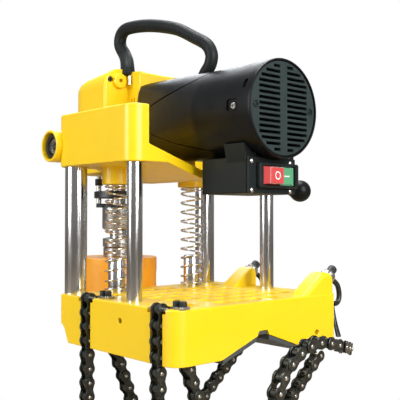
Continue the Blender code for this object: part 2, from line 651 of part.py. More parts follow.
def build_motor():
    for name, lift in (("motor_housing", -0.75), ("motor_front_cover", 0.75)):
        shell = make(name, motor_body(MOTOR_FRONT, MOTOR_REAR, bevel=3.0), "black_plastic")
        boolean(shell, "DIFFERENCE", motor_body(MOTOR_FRONT + 5.0, MOTOR_REAR + 5.0, grow=-SHELL), "inside")
        bore = rod(7.0, MOTOR_FRONT - 3.0, MOTOR_FRONT + 8.0, (0.0, 0.0, COUNTER_Z), "X", 16)
        boolean(shell, "DIFFERENCE", bore, "shaft_hole")
        boolean(shell, "DIFFERENCE" if lift < 0 else "INTERSECT", above_seam(lift), "seam")
    inner = MOTOR_R - SHELL - 0.9
    grille = make("vent_grille", rod(inner, 152.0, 157.0, (0.0, 0.0, MOTOR_Z), "X", 32), "black_plastic")
    slots = []
    pitch, count = 25.0, 4
    for k in range(count):
        z = MOTOR_Z + pitch * (k - (count - 1) / 2.0)
        reach = math.sqrt((inner - 4.0) ** 2 - (abs(z - MOTOR_Z) + 8.5) ** 2)
        for side in (-1, 1):
            y0, y1 = sorted((side * 5.0, side * reach))
            slots.append(box(150.0, 159.0, y0, y1, z - 8.5, z + 8.5))
    boolean(grille, "DIFFERENCE", merged(slots), "slots")
    make("stator", pipe(34.0, 50.0, 22.0, 70.0, (0.0, 0.0, MOTOR_Z), "X", 24), "copper")
    front = make("front_end_shield", rod(34.3, -48.0, -40.0, (0.0, 0.0, MOTOR_Z), "X", 24), "dark_steel")
    boolean(front, "UNION", rod(13.0, -47.0, -41.0, (0.0, 0.0, COUNTER_Z), "X", 14), "counter_boss")
    bores = [rod(5.0 + GAP, -52.0, -36.0, (0.0, 0.0, z), "X", 16) for z in (MOTOR_Z, COUNTER_Z)]
    boolean(front, "DIFFERENCE", merged(bores), "bores")
    make("rear_end_shield", pipe(5.0 + GAP, 24.0, 136.0, 144.0, (0.0, 0.0, MOTOR_Z), "X", 24), "dark_steel")
    profile = [(0.0, -69.0), (3.0, -69.0), (3.0, -56.0), (5.0, -56.0), (5.0, 15.0), (14.0, 17.0), (14.0, 24.0),
               (31.0, 24.0), (31.0, 68.0), (14.0, 68.0), (14.0, 84.0), (18.0, 84.0), (18.0, 102.0), (5.0, 102.0),
               (5.0, 148.0), (0.0, 148.0)]
    armature = make("armature", turned(profile, (0.0, 0.0, MOTOR_Z), "X", 16), "copper", (0.0, 0.0, MOTOR_Z))
    pinion = gear_outline(MOTOR_TEETH, MODULE_1 * MOTOR_TEETH / 2.0, MODULE_1)
    boolean(armature, "UNION", gear_at(pinion, (0.0, MOTOR_Z), -68.0, -57.0, "X"), "pinion")
    fan = make("fan", pipe(5.0 + GAP, 16.0, 110.0, 124.0, (0.0, 0.0, MOTOR_Z), "X", 20), "black_plastic",
               (0.0, 0.0, MOTOR_Z))
    disc = pipe(14.0, 50.0, 110.6, 113.0, (0.0, 0.0, MOTOR_Z), "X", 22)
    boolean(fan, "UNION", disc, "disc")
    blades = []
    for k in range(7):
        blade = box(112.0, 123.0, 18.0, 49.0, -1.2, 1.2)
        blades.append(moved(blade, Matrix.Translation((0.0, 0.0, MOTOR_Z)) @ Matrix.Rotation(k * math.tau / 7, 4, "X")))
    boolean(fan, "UNION", merged(blades), "blades")
    counter = make("countershaft", rod(5.0, -172.0, -38.0, (0.0, 0.0, COUNTER_Z), "X", 14), "bright_steel",
                   (0.0, 0.0, COUNTER_Z))
    pinion = gear_outline(CROWN_PINION_TEETH, CROWN_PINION_R, 2.0 * CROWN_R / CROWN_TEETH,
                          math.pi / CROWN_PINION_TEETH, 0.3)
    necked = pipe(3.9, 6.0, -174.0, CROWN_PINION_X[1] + 2.0, (0.0, 0.0, COUNTER_Z), "X", 18)
    boolean(counter, "DIFFERENCE", necked, "pinion_neck")
    boolean(counter, "UNION", gear_at(pinion, (0.0, COUNTER_Z), *CROWN_PINION_X, "X"), "pinion")
    wheel = gear_outline(WHEEL_TEETH, MODULE_1 * WHEEL_TEETH / 2.0, MODULE_1, math.pi / WHEEL_TEETH)
    boolean(counter, "UNION", gear_at(wheel, (0.0, COUNTER_Z), *WHEEL_X, "X"), "wheel")


# ---------------------------------------------------------------- head bracket and gearbox cover

def corner_outline():
    """Plan of the bracket: one arc round each of the four columns."""
    outline = []
    corners = [(GUIDE_X, -GUIDE_Y, GUIDE_SLEEVE_R, -90.0), (GUIDE_X, GUIDE_Y, GUIDE_SLEEVE_R, 0.0),
               (RACK_X, RACK_Y, RACK_SLEEVE_R, 90.0), (RACK_X, -RACK_Y, RACK_SLEEVE_R, 180.0)]
    for x, y, radius, start in corners:
        for k in range(5):
            angle = math.radians(start + 22.5 * k)
            outline.append((x + radius * math.cos(angle), y + radius * math.sin(angle)))
    return outline


def pot_outline(inset=0.0, front=None):
    back, face, half = DOME
    front = face if front is None else front
    return rounded_rectangle(back + inset, front, -half + inset, half - inset,
                             [max(6.0 - inset, 0.5), max(50.0 - inset, 6.0), max(50.0 - inset, 6.0),
                              max(6.0 - inset, 0.5)], 6)


def build_bracket():
    bracket = make("head_bracket", prism(corner_outline(), HEAD_BOTTOM, HEAD_TOP), "yellow_paint")
    hollow = [box(RACK_X + 3.0, GUIDE_X + 10.0, -RACK_Y - 13.0, RACK_Y + 13.0, HEAD_BOTTOM + 7.0, HEAD_TOP + 5.0)]
    boolean(bracket, "DIFFERENCE", merged(hollow), "hollow")
    for x, half, name in ((-155.0, 103.0, "middle"), (0.0, 117.5, "front")):
        boolean(bracket, "DIFFERENCE", box(x, 45.0, -half, half, HEAD_BOTTOM - 5.0, HEAD_TOP + 6.0), name)
    trough = [(-118.0, 304.9), (-83.0, 304.9), (-27.0, 286.0), (27.0, 286.0), (83.0, 304.9), (118.0, 304.9),
              (118.0, 331.0), (114.0, 328.0), (25.0, 298.0), (-25.0, 298.0), (-114.0, 328.0), (-118.0, 331.0)]
    strap = prism(trough, RACK_X - 20.0, GUIDE_X + 17.0, "X")
    boolean(bracket, "UNION", strap, "trough")
    inside = []
    for side in (-1, 1):
        y0, y1 = sorted((side * 34.0, side * 105.0))
        outline = [(side * 36.0, 296.5), (side * 84.0, 312.0), (side * 110.0, 312.0), (side * 110.0, 345.0),
                   (side * 36.0, 345.0)]
        inside.append(prism(outline, RACK_X + 24.0, GUIDE_X + 10.0, "X"))
    boolean(bracket, "DIFFERENCE", merged(inside), "trough_pockets")
    for side, name in ((-1, "near"), (1, "far")):
        rack = (RACK_X, side * RACK_Y, 0.0)
        guide = (GUIDE_X, side * GUIDE_Y, 0.0)
        boolean(bracket, "UNION", rod(RACK_SLEEVE_R, HEAD_BOTTOM, HEAD_TOP, rack, segments=24), f"rack_sleeve_{name}")
        boolean(bracket, "UNION", rod(GUIDE_SLEEVE_R, HEAD_BOTTOM, HEAD_TOP, guide, segments=20), f"guide_sleeve_{name}")
        boolean(bracket, "UNION", rod(22.0, LUG_BOTTOM, 314.0, (SPRING_X, side * SPRING_Y, 0.0), segments=20),
                f"spring_lug_{name}")
        y0, y1 = sorted((side * 100.0, side * BOSS_Y))
        boss = rod(BOSS_R, y0, y1, (PINION_X, 0.0, PINION_Z), "Y", 26)
        boolean(bracket, "UNION", boss, f"boss_{name}")
    boolean(bracket, "UNION", prism(pot_outline(front=-136.0), 302.0, DOME_SPLIT - GAP), "pot")
    boolean(bracket, "UNION", box(-166.0, -138.0, -112.0, 112.0, 318.0, DOME_SPLIT - GAP), "shaft_web")
    boolean(bracket, "UNION", box(-140.0, -20.0, -13.0, 13.0, 300.0, 350.0), "nose_rib")
    boolean(bracket, "DIFFERENCE", motor_body(MOTOR_FRONT - 1.0, 200.0, GAP + 0.05), "motor_seat")
    cavity = prism(pot_outline(6.0, -168.0), 308.0, DOME_SPLIT + 5.0)
    boolean(bracket, "DIFFERENCE", cavity, "pot_cavity")
    quill = (SPINDLE_X, 0.0, 0.0)
    boolean(bracket, "UNION", rod(26.0, 300.0, 375.0, quill, segments=22), "quill")
    cross = turned([(0.0, -170.0), (19.6, -170.0), (19.6, -144.0), (14.9, -144.0), (14.9, -113.0), (7.5, -113.0),
                    (7.5, 113.0), (14.9, 113.0), (14.9, 144.0), (19.6, 144.0), (19.6, 170.0), (0.0, 170.0)],
                   (PINION_X, 0.0, PINION_Z), "Y", 20)
    boolean(bracket, "DIFFERENCE", cross, "pinion_bore")
    bores = [turned([(0.0, 295.0), (20.0, 295.0), (20.0, 314.0), (16.0, 315.0), (16.0, 360.0), (20.0, 361.0),
                     (20.0, 380.0), (0.0, 380.0)], quill, segments=18)]
    for side in (-1, 1):
        bores.append(rod(RACK_BUSH_R, 270.0, 390.0, (RACK_X, side * RACK_Y, 0.0), segments=22))
        bores.append(rod(GUIDE_BUSH_R, 270.0, 390.0, (GUIDE_X, side * GUIDE_Y, 0.0), segments=18))
    boolean(bracket, "DIFFERENCE", merged(bores), "bores")


def crowned(x, z):
    """The cover's top slopes down towards its back."""
    return z - 8.0 * min(max((-160.0 - x) / 60.0, 0.0), 1.0) * max(z - 425.0, 0.0) / (DOME_TOP - 425.0)


def dome_rings(inset, low, high_cut, front):
    """Rings of the cover: upright sides that roll over into a rounded top."""
    rings = []
    for z, roll in ((low, 0.0), (436.0, 0.0), (448.0, 2.0), (457.0, 6.0), (463.0, 13.0), (DOME_TOP, 25.0)):
        back, _, half = DOME
        shift = inset + roll
        radius = max(50.0 - shift, 12.0)
        outline = rounded_rectangle(back + shift, front, -half + shift, half - shift, [4.0, radius, radius, 4.0], 6)
        rings.append([(u, v, crowned(u, z) - (high_cut if z > 425.0 else 0.0)) for u, v in outline])
    return rings


def build_cover():
    cover = make("gearbox_cover", skin(dome_rings(0.0, DOME_SPLIT, 0.0, DOME[1])), "yellow_paint")
    neck = prism([(DOME_SPLIT, -153.0), (DOME_SPLIT, MOTOR_FRONT - GAP), (461.0, MOTOR_FRONT - GAP), (463.5, -153.0)],
                 -NECK_HALF, NECK_HALF, "Y")
    boolean(cover, "UNION", neck, "neck")
    ridge = skin([[(x, -half, low), (x, half, low), (x, half, high - 2.0), (x, half - 3.0, high),
                   (x, 3.0 - half, high), (x, -half, high - 2.0)]
                  for x, half, low, high in ((MOTOR_FRONT - 6.0, 15.0, 424.0, 461.5), (RIDGE_END, 8.0, 430.0, 441.5))])
    boolean(cover, "UNION", ridge, "ridge")
    boolean(cover, "UNION", rod(11.6, DOME[1] - 4.0, DOME[1] + 7.0, (0.0, EYE_Y, 446.5), "X", 24), "eye_boss")
    boolean(cover, "DIFFERENCE", motor_body(MOTOR_FRONT - GAP, 200.0, GAP + 0.05), "motor_seat")
    boolean(cover, "DIFFERENCE", skin(dome_rings(6.0, DOME_SPLIT - 5.0, 6.0, -156.0)), "cavity")
    holes = [rod(7.0, -160.0, -105.0, (0.0, 0.0, COUNTER_Z), "X", 16),
             rod(4.0, DOME[1] - 3.0, DOME[1] + 12.0, (0.0, -50.5, 448.0), "X", 12),
             rod(3.6, DOME[1] - 1.0, DOME[1] + 12.0, (0.0, EYE_Y, 446.5), "X", 16)]
    boolean(cover, "DIFFERENCE", merged(holes), "holes")


def build_bushes():
    for side, end in ((-1, "near"), (1, "far")):
        rack = make(f"rack_bush_{end}", pipe(RACK_R + GAP, RACK_BUSH_R - GAP, HEAD_BOTTOM + 1.0, HEAD_TOP - 2.0,
                                             (RACK_X, side * RACK_Y, 0.0), segments=22), "brass")
        window = rod(15.2, side * RACK_Y - 20.0, side * RACK_Y + 20.0, (PINION_X, 0.0, PINION_Z), "Y", 24)
        boolean(rack, "DIFFERENCE", window, "pinion_window")
        make(f"guide_bush_{end}", pipe(GUIDE_R + GAP, GUIDE_BUSH_R - GAP, HEAD_BOTTOM + 1.0, HEAD_TOP - 2.0,
                                       (GUIDE_X, side * GUIDE_Y, 0.0), segments=18), "brass")
    for name, low, high in (("spindle_bearing_lower", 301.0, 313.5), ("spindle_bearing_upper", 361.5, 374.0)):
        make(name, pipe(12.0 + GAP, 20.0 - GAP, low, high, (SPINDLE_X, 0.0, 0.0), segments=18), "bright_steel")


# ---------------------------------------------------------------- handle

def build_handle():
    path = smooth_path([(x, 0.0, z) for x, z in HANDLE], 2)
    reach = [(Vector(point) - Vector(path[0])).length for point in path]
    radii = [11.5 - 2.2 * min(length / 140.0, 1.0) for length in reach]
    handle = make("carry_handle", swept(path, radii, 10), "black_rubber")
    boolean(handle, "DIFFERENCE", box(-200.0, -140.0, -30.0, 30.0, 440.0, DOME_TOP + GAP), "foot")
    boolean(handle, "DIFFERENCE", motor_body(-60.0, 200.0, GAP + 0.05), "rear_foot")


# ---------------------------------------------------------------- switch box

def build_switch():
    x0, x1, half, low, high = BOX
    shell = make("switch_box", box(x0, x1, -half, half, low, high), "black_plastic")
    saddle = prism([(-half, high - 8.0), (half, high - 8.0), (half + 5.0, 326.0), (-half - 5.0, 326.0)],
                   105.0, x1, "X")
    boolean(shell, "UNION", saddle, "saddle")
    boolean(shell, "DIFFERENCE", rod(MOTOR_R + GAP, 0.0, 200.0, (0.0, 0.0, MOTOR_Z), "X", 40), "motor_seat")
    boolean(shell, "DIFFERENCE", box(x0 + 5.0, x1 + 5.0, -half + 5.0, half - 5.0, low + 5.0, 299.0), "cavity")
    plate = make("switch_plate", box(x1 + GAP, x1 + 4.0, -half, half, low, high), "black_plastic")
    boolean(plate, "DIFFERENCE", rod(MOTOR_R + GAP, 0.0, 200.0, (0.0, 0.0, MOTOR_Z), "X", 36), "motor_seat")
    y0, y1, z0, z1 = BEZEL
    rim = skin([[(x, y0 + s, z0 + s), (x, y1 - s, z0 + s), (x, y1 - s, z1 - s), (x, y0 + s, z1 - s)]
                for x, s in ((x1 + 3.0, 0.0), (x1 + 10.0, 0.0), (x1 + 11.5, 1.5))])
    boolean(plate, "UNION", rim, "bezel")
    y0, y1, z0, z1 = WINDOW
    boolean(plate, "DIFFERENCE", box(x1 - 5.0, x1 + 15.0, y0, y1, z0, z1), "window")
    make("switch_block", box(90.0, 122.0, -22.0, 36.0, 270.0, 298.0), "black_plastic")
    for name, low_y, high_y, front, draft in (("red_button", y0 + GAP, BUTTON_SPLIT - GAP, x1 + 17.0, 2.2),
                                              ("green_button", BUTTON_SPLIT + GAP, y1 - GAP, x1 + 9.5, 0.8)):
        rings = []
        for x, s in ((x1 - 14.0, 0.0), (x1 + 8.0, 0.0), (front - 1.0, draft), (front, draft + 1.0)):
            rings.append([(x, low_y + s, z0 + GAP + s), (x, high_y - s, z0 + GAP + s),
                          (x, high_y - s, z1 - GAP - s), (x, low_y + s, z1 - GAP - s)])
        make(name, skin(rings), name.split("_")[0] + "_plastic", (x1, (low_y + high_y) / 2.0, (z0 + z1) / 2.0))


# ---------------------------------------------------------------- spindle and cutter

def build_spindle():
    centre = (SPINDLE_X, 0.0, 0.0)
    profile = [(0.0, 211.0), (23.7, 211.0), (26.2, 214.0), (26.2, 252.0), (12.0, 254.0), (12.0, 392.0), (0.0, 392.0)]
    make("spindle", turned(profile, centre, segments=28), "bright_steel", centre)
    ring = [(12.0 + GAP, 263.0), (39.6, 263.0), (39.6, 274.0), (12.0 + GAP, 274.0)]
    flange = make("spindle_flange", turned(ring, centre, segments=30, tube=True), "dark_steel", centre)
    pins, nuts = [], []
    for k in range(4):
        angle = math.radians(FLANGE_TURN + 90.0 * k)
        spot = (SPINDLE_X + 32.0 * math.cos(angle), 32.0 * math.sin(angle), 0.0)
        pins.append(rod(4.0, 254.2, 299.0, spot, segments=8))
        nuts.append(rod(6.7, 284.0, 295.0, spot, segments=6))
    boolean(flange, "UNION", merged(pins), "pins")
    boolean(flange, "UNION", merged(nuts), "nuts")
    count = 26
    teeth = [(36.0 - (0.0 if i % 2 else 1.6)) for i in range(count * 2)]

    def around(radius, z):
        return [(SPINDLE_X + (radius or r) * math.cos(math.tau * i / len(teeth)),
                 (radius or r) * math.sin(math.tau * i / len(teeth)), z) for i, r in enumerate(teeth)]

    make("serrated_ring", skin([around(26.2 + GAP, 248.0), around(None, 248.0), around(None, 253.6),
                                around(26.2 + GAP, 253.6)], ring_closed=True), "dark_steel", centre)
    profile = [(0.0, 148.0), (9.0, 148.0), (9.0, 167.0 + GAP), (24.3, 167.0 + GAP), (24.3, 182.0), (22.0, 182.5),
               (25.3, 183.0), (25.3, 197.0), (24.3, 198.0), (13.6, 199.0), (13.6, 211.0 - GAP), (0.0, 211.0 - GAP)]
    make("arbor_collar", turned(profile, centre, segments=22), "bright_steel", centre)
    count = 28
    lows = [SAW_BOTTOM if i % 2 else SAW_BOTTOM + 4.5 for i in range(count * 2)]

    def cup(radius, z):
        return [(SPINDLE_X + radius * math.cos(math.tau * i / len(lows)),
                 radius * math.sin(math.tau * i / len(lows)), low if z is None else z) for i, low in enumerate(lows)]

    make("hole_saw", skin([cup(9.0 + GAP, 167.0), cup(SAW_R - 1.5, 167.0), cup(SAW_R, 165.0),
                           cup(SAW_R, None), cup(SAW_R - 2.6, None), cup(SAW_R - 2.6, 160.0), cup(9.0 + GAP, 160.0)],
                          ring_closed=True), "orange_paint", centre)
    make("pilot_drill", turned([(0.0, 80.0), (4.5, 84.0), (4.5, 148.0 - GAP), (0.0, 148.0 - GAP)], centre, segments=14),
         "bright_steel", centre)
    top, edge = CROWN_Z + 0.9, CROWN_R + 3.5
    disc = [(12.0 + GAP, CROWN_Z - 17.0), (19.0, CROWN_Z - 17.0), (19.0, CROWN_Z - 10.0), (edge, CROWN_Z - 8.0),
            (edge, top), (24.0, top), (22.0, CROWN_Z - 5.0), (12.0 + GAP, CROWN_Z - 5.0)]
    crown = make("crown_gear", turned(disc, centre, segments=30, tube=True), "bright_steel", centre)
    spaces = []
    for k in range(CROWN_TEETH):
        space = box(CROWN_R - 5.0, edge + 3.0, -1.95, 1.95, CROWN_Z - 2.0, top + 2.0)
        turn = Matrix.Translation(centre) @ Matrix.Rotation(k * math.tau / CROWN_TEETH, 4, "Z")
        spaces.append(moved(space, turn))
    boolean(crown, "DIFFERENCE", merged(spaces), "tooth_spaces")


# ---------------------------------------------------------------- feed pinion and lever

def build_feed():
    axis_point = (PINION_X, 0.0, PINION_Z)
    profile = [(0.0, -152.0), (17.0, -152.0), (19.2, -150.0), (19.2, -144.6), (7.0, -144.6), (7.0, 144.6),
               (19.2, 144.6), (19.2, 150.0), (12.0, 152.0), (8.0, 152.0), (8.0, 212.0), (7.0, 213.0), (0.0, 213.0)]
    shaft = make("feed_pinion", turned(profile, axis_point, "Y", 18), "bright_steel", axis_point)
    module = 2.0 * PINION_R / PINION_TEETH
    for side, name in ((-1, "near"), (1, "far")):
        outline = gear_outline(PINION_TEETH, PINION_R, module, 0.0)
        teeth = gear_at(outline, (PINION_Z, PINION_X), side * RACK_Y - 12.0, side * RACK_Y + 12.0, "Y")
        boolean(shaft, "UNION", teeth, f"teeth_{name}")
    socket = prism([(PINION_Z + 7.2 * math.cos(math.tau * k / 6), PINION_X + 7.2 * math.sin(math.tau * k / 6))
                    for k in range(6)], -160.0, -143.0, "Y")
    boolean(shaft, "DIFFERENCE", socket, "hex_socket")
    hub = pipe(8.0 + GAP, 15.0, LEVER_Y - 11.0, LEVER_Y + 11.0, axis_point, "Y", 24)
    lever = make("feed_lever", hub, "dark_steel", axis_point)
    start, end = Vector((PINION_X, LEVER_Y, PINION_Z)), Vector((BALL_X, LEVER_Y, BALL_Z))
    along = (end - start).normalized()
    arm = swept([start + along * 11.0, start + along * 20.0, start + along * 110.0,
                 end - along * (GRIP + GAP)], [7.0, 7.0, 5.5, 5.0], 12)
    boolean(lever, "UNION", arm, "arm")
    ball = [(0.0, -GRIP), (7.4, -GRIP), (8.4, -GRIP + 1.5)]
    for k in range(7):
        angle = math.radians(-30.0 + 20.0 * k)
        ball.append((BALL_R * math.cos(angle), BALL_R * math.sin(angle)))
    ball[-1] = (0.0, BALL_R)
    turn = Vector((0.0, 0.0, 1.0)).rotation_difference(along).to_matrix().to_4x4()
    make("lever_ball", moved(turned(ball, segments=16), Matrix.Translation(end) @ turn), "black_plastic", axis_point)


# ---------------------------------------------------------------- clear the scene and build

def clear_scene():
    for thing in list(bpy.data.objects):
        bpy.data.objects.remove(thing, do_unlink=True)


def main():
    clear_scene()
    build_base()
    build_pads()
    build_columns()
    for side, name in ((-1, "spring_near"), (1, "spring_far")):
        spring(name, side)
    build_chains()
    build_tensioners()
    build_bracket()
    build_bushes()
    build_cover()
    build_motor()
    build_handle()
    build_switch()
    build_spindle()
    build_feed()


main()
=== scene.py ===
"""Looks of the chain-clamped pipe hole cutting machine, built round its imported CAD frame.

Row frame: the origin is on the pipe's axis, +X runs towards the vented end of the motor, +Y to the feed
lever, +Z up. Lengths are millimetres, and each new mesh is scaled to metres when it is made.
"""

import json
import math

import bmesh
import bpy
from mathutils import Matrix, Vector


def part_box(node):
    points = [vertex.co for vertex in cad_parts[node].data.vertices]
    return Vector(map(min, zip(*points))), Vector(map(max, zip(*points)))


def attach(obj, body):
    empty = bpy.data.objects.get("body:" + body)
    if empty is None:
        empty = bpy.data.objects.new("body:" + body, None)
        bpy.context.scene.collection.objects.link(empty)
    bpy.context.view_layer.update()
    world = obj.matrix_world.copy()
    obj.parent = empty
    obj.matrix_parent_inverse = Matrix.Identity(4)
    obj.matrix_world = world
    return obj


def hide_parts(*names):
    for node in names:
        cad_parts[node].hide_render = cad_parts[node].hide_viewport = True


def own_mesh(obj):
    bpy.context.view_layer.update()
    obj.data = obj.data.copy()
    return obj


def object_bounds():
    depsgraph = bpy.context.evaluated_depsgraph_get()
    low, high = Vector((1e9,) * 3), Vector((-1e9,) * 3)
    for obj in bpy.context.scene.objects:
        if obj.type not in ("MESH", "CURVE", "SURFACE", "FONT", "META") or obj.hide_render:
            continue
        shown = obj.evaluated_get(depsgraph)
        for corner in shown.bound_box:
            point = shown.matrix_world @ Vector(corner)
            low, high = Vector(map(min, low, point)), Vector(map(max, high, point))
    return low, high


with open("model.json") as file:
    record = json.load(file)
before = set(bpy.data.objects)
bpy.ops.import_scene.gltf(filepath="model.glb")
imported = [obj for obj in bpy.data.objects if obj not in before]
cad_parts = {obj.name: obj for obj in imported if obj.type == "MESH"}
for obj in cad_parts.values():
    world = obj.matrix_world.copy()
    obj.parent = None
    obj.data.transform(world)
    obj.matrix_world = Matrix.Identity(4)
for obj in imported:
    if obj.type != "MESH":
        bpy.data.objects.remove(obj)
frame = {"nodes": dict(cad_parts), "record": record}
CAD_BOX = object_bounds()
NODES = frame["nodes"]
BODY_OF = {node: body for body, nodes in frame["record"]["behaviour"]["bodies"].items() for node in nodes}
SLOT_OF = {part["node"]: part["material_slot"] for part in frame["record"]["subparts"]}
MM = 0.001


def span(node):
    """Lowest and highest corners of a CAD node, in millimetres."""
    low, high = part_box(node)
    return low / MM, high / MM


# ---------------------------------------------------------------- mesh helpers

def place(axis, u, v, h):
    return {"X": (h, u, v), "Y": (v, h, u), "Z": (u, v, h)}[axis]


def bridge(bm, first, second):
    count = max(len(first), len(second))
    for i in range(count):
        j = (i + 1) % count
        corners = [ring[k % len(ring)] for ring, k in ((first, i), (first, j), (second, j), (second, i))]
        unique = list(dict.fromkeys(corners))
        if len(unique) > 2:
            bm.faces.new(unique)


def skin(rings, ring_closed=False):
    """Closed body from rings of points; a ring of one point is a pole."""
    bm = bmesh.new()
    made = [[bm.verts.new(point) for point in ring] for ring in rings]
    for first, second in zip(made, made[1:]):
        bridge(bm, first, second)
    if ring_closed:
        bridge(bm, made[-1], made[0])
    else:
        for ring in (made[0], made[-1]):
            if len(ring) > 2:
                bm.faces.new(ring)
    bmesh.ops.recalc_face_normals(bm, faces=bm.faces)
    return bm


def turned(profile, centre=(0, 0, 0), axis="Z", segments=64, tube=False):
    """Revolve (radius, height) points about an axis through centre."""
    rings = []
    for radius, height in profile:
        steps = 1 if radius < 1e-6 else segments
        ring = []
        for i in range(steps):
            angle = math.tau * i / steps
            offset = place(axis, radius * math.cos(angle), radius * math.sin(angle), height)
            ring.append(tuple(c + o for c, o in zip(centre, offset)))
        rings.append(ring)
    return skin(rings, ring_closed=tube)


def rod(radius, low, high, centre=(0, 0, 0), axis="Z", segments=48):
    return turned([(0, low), (radius, low), (radius, high), (0, high)], centre, axis, segments)


def prism(outline, low, high, axis="Z"):
    return skin([[place(axis, u, v, h) for u, v in outline] for h in (low, high)])


def box(x0, x1, y0, y1, z0, z1):
    return prism([(x0, y0), (x1, y0), (x1, y1), (x0, y1)], z0, z1)


def circle(radii, count, centre=(0, 0), turn=0):
    """Evenly spaced points in a plane on a circle, or on an oval of two radii."""
    wide, high = radii if isinstance(radii, tuple) else (radii, radii)
    return [(centre[0] + wide * math.cos(math.tau * k / count + turn),
             centre[1] + high * math.sin(math.tau * k / count + turn)) for k in range(count)]


def layered(outline_of, levels, axis="Z"):
    """Body through the outlines that outline_of gives for each (height, inset)."""
    return skin([[place(axis, u, v, height) for u, v in outline_of(inset)] for height, inset in levels])


def facing(spot, axis="Y", sign=1):
    """Matrix that takes a body standing on +Z to a spot and turns it a quarter about an axis."""
    return Matrix.Translation(spot) @ Matrix.Rotation(sign * math.pi / 2, 4, axis)


def rounded_rectangle(u0, u1, v0, v1, radii, steps=8):
    corners = [(u1, v1, -1, -1), (u0, v1, 1, -1), (u0, v0, 1, 1), (u1, v0, -1, 1)]
    outline = []
    for k, ((u, v, su, sv), radius) in enumerate(zip(corners, radii)):
        for i in range(steps + 1):
            angle = math.radians(90 * k + 90 * i / steps)
            outline.append((u + su * radius + radius * math.cos(angle),
                            v + sv * radius + radius * math.sin(angle)))
    return outline


def swept(path, radius, segments=16, flat=1, hint=None):
    """Bar along points; radius may be a list, and flat squeezes the section across hint."""
    points = [Vector(p) for p in path]
    count = len(points)
    radii = radius if isinstance(radius, list) else [radius] * count
    rings = []
    side = Vector(hint) if hint else None
    for i, point in enumerate(points):
        ahead = (points[min(i + 1, count - 1)] - points[max(i - 1, 0)]).normalized()
        if side is None:
            side = ahead.orthogonal()
        side = (side - ahead * side.dot(ahead)).normalized()
        up = ahead.cross(side)
        rings.append([tuple(point + (side * math.cos(math.tau * k / segments) * flat
                                     + up * math.sin(math.tau * k / segments)) * radii[i])
                      for k in range(segments)])
    return skin(rings)


def smooth_path(points, steps=8):
    vectors = [Vector(p) for p in points]
    ends = [vectors[0] * 2 - vectors[1]] + vectors + [vectors[-1] * 2 - vectors[-2]]
    path = []
    for i in range(1, len(ends) - 2):
        a, b, c, d = ends[i - 1:i + 3]
        for k in range(steps):
            t = k / steps
            path.append(0.5 * ((2 * b) + (c - a) * t + (2 * a - 5 * b + 4 * c - d) * t * t
                               + (3 * b - a - 3 * c + d) * t * t * t))
    path.append(vectors[-1])
    return path


def joined(parts):
    whole = bmesh.new()
    for part in parts:
        mesh = bpy.data.meshes.new("part")
        part.to_mesh(mesh)
        part.free()
        whole.from_mesh(mesh)
        bpy.data.meshes.remove(mesh)
    return whole


def moved(bm, matrix):
    bmesh.ops.transform(bm, matrix=matrix, verts=bm.verts)
    return bm


def tilted(angle, centre, bm):
    """Lean a body made along +Z towards +Y, then move it to centre."""
    return moved(bm, Matrix.Translation(Vector(centre)) @ Matrix.Rotation(-angle, 4, "X"))


def as_object(name, bm, scale=MM):
    moved(bm, Matrix.Scale(scale, 4))
    mesh = bpy.data.meshes.new(name)
    bm.to_mesh(mesh)
    bm.free()
    made = bpy.data.objects.new(name, mesh)
    bpy.context.scene.collection.objects.link(made)
    return made


def carved(bm, *steps):
    """Boolean steps (operation, bmesh) worked out at once; returns a bmesh in millimetres."""
    target = as_object("carved", bm, 1)
    tools = []
    for operation, tool in steps:
        helper = as_object("tool", tool, 1)
        modifier = target.modifiers.new("step", "BOOLEAN")
        modifier.operation, modifier.object, modifier.solver = operation, helper, "EXACT"
        tools.append(helper)
    bpy.context.view_layer.update()
    mesh = bpy.data.meshes.new_from_object(target.evaluated_get(bpy.context.evaluated_depsgraph_get()))
    result = bmesh.new()
    result.from_mesh(mesh)
    bpy.data.meshes.remove(mesh)
    for thing in (target, *tools):
        bpy.data.objects.remove(thing)
    return result


def cut(tool):
    return "DIFFERENCE", tool


def add(tool):
    return "UNION", tool


def rounded(bm, width, steps=3, limit=30, where=None):
    """Round the sharp edges of a closed body."""
    edges = [edge for edge in bm.edges if edge.is_manifold and math.degrees(edge.calc_face_angle()) > limit
             and (where is None or where((edge.verts[0].co + edge.verts[1].co) / 2))]
    bmesh.ops.bevel(bm, geom=edges, offset=width, offset_type="OFFSET", segments=steps, profile=0.5,
                    affect="EDGES", clamp_overlap=True)
    return bm


def piece(name, bm, finish, body=None, stands_for=None, slot=None, weighted=False, angle=30):
    """A finished piece that rides on a body; stands_for names the CAD node that it replaces, if any."""
    made = as_object(name, bm)
    mesh = made.data
    mesh.materials.append(finish)
    mesh.shade_smooth()
    mesh.set_sharp_from_angle(angle=math.radians(angle))
    if weighted:
        modifier = made.modifiers.new("normals", "WEIGHTED_NORMAL")
        modifier.keep_sharp = True
        modifier.weight = 80
    if stands_for:
        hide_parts(stands_for)
        body = body or BODY_OF[stands_for]
        slot = slot or SLOT_OF[stands_for]
    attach(made, body)
    return made


# ---------------------------------------------------------------- materials

def new_material(name):
    made = bpy.data.materials.new(name)
    made.use_nodes = True
    tree = made.node_tree
    return made, tree, tree.nodes["Principled BSDF"]


def coordinates(tree, stretch=(1, 1, 1)):
    source = tree.nodes.new("ShaderNodeTexCoord")
    mapping = tree.nodes.new("ShaderNodeMapping")
    mapping.inputs["Scale"].default_value = stretch
    tree.links.new(source.outputs["Object"], mapping.inputs["Vector"])
    return mapping.outputs["Vector"]


def noise(tree, vector, scale, detail=3, roughness=0.55):
    made = tree.nodes.new("ShaderNodeTexNoise")
    made.inputs["Scale"].default_value = scale
    made.inputs["Detail"].default_value = detail
    made.inputs["Roughness"].default_value = roughness
    tree.links.new(vector, made.inputs["Vector"])
    return made.outputs["Fac"]


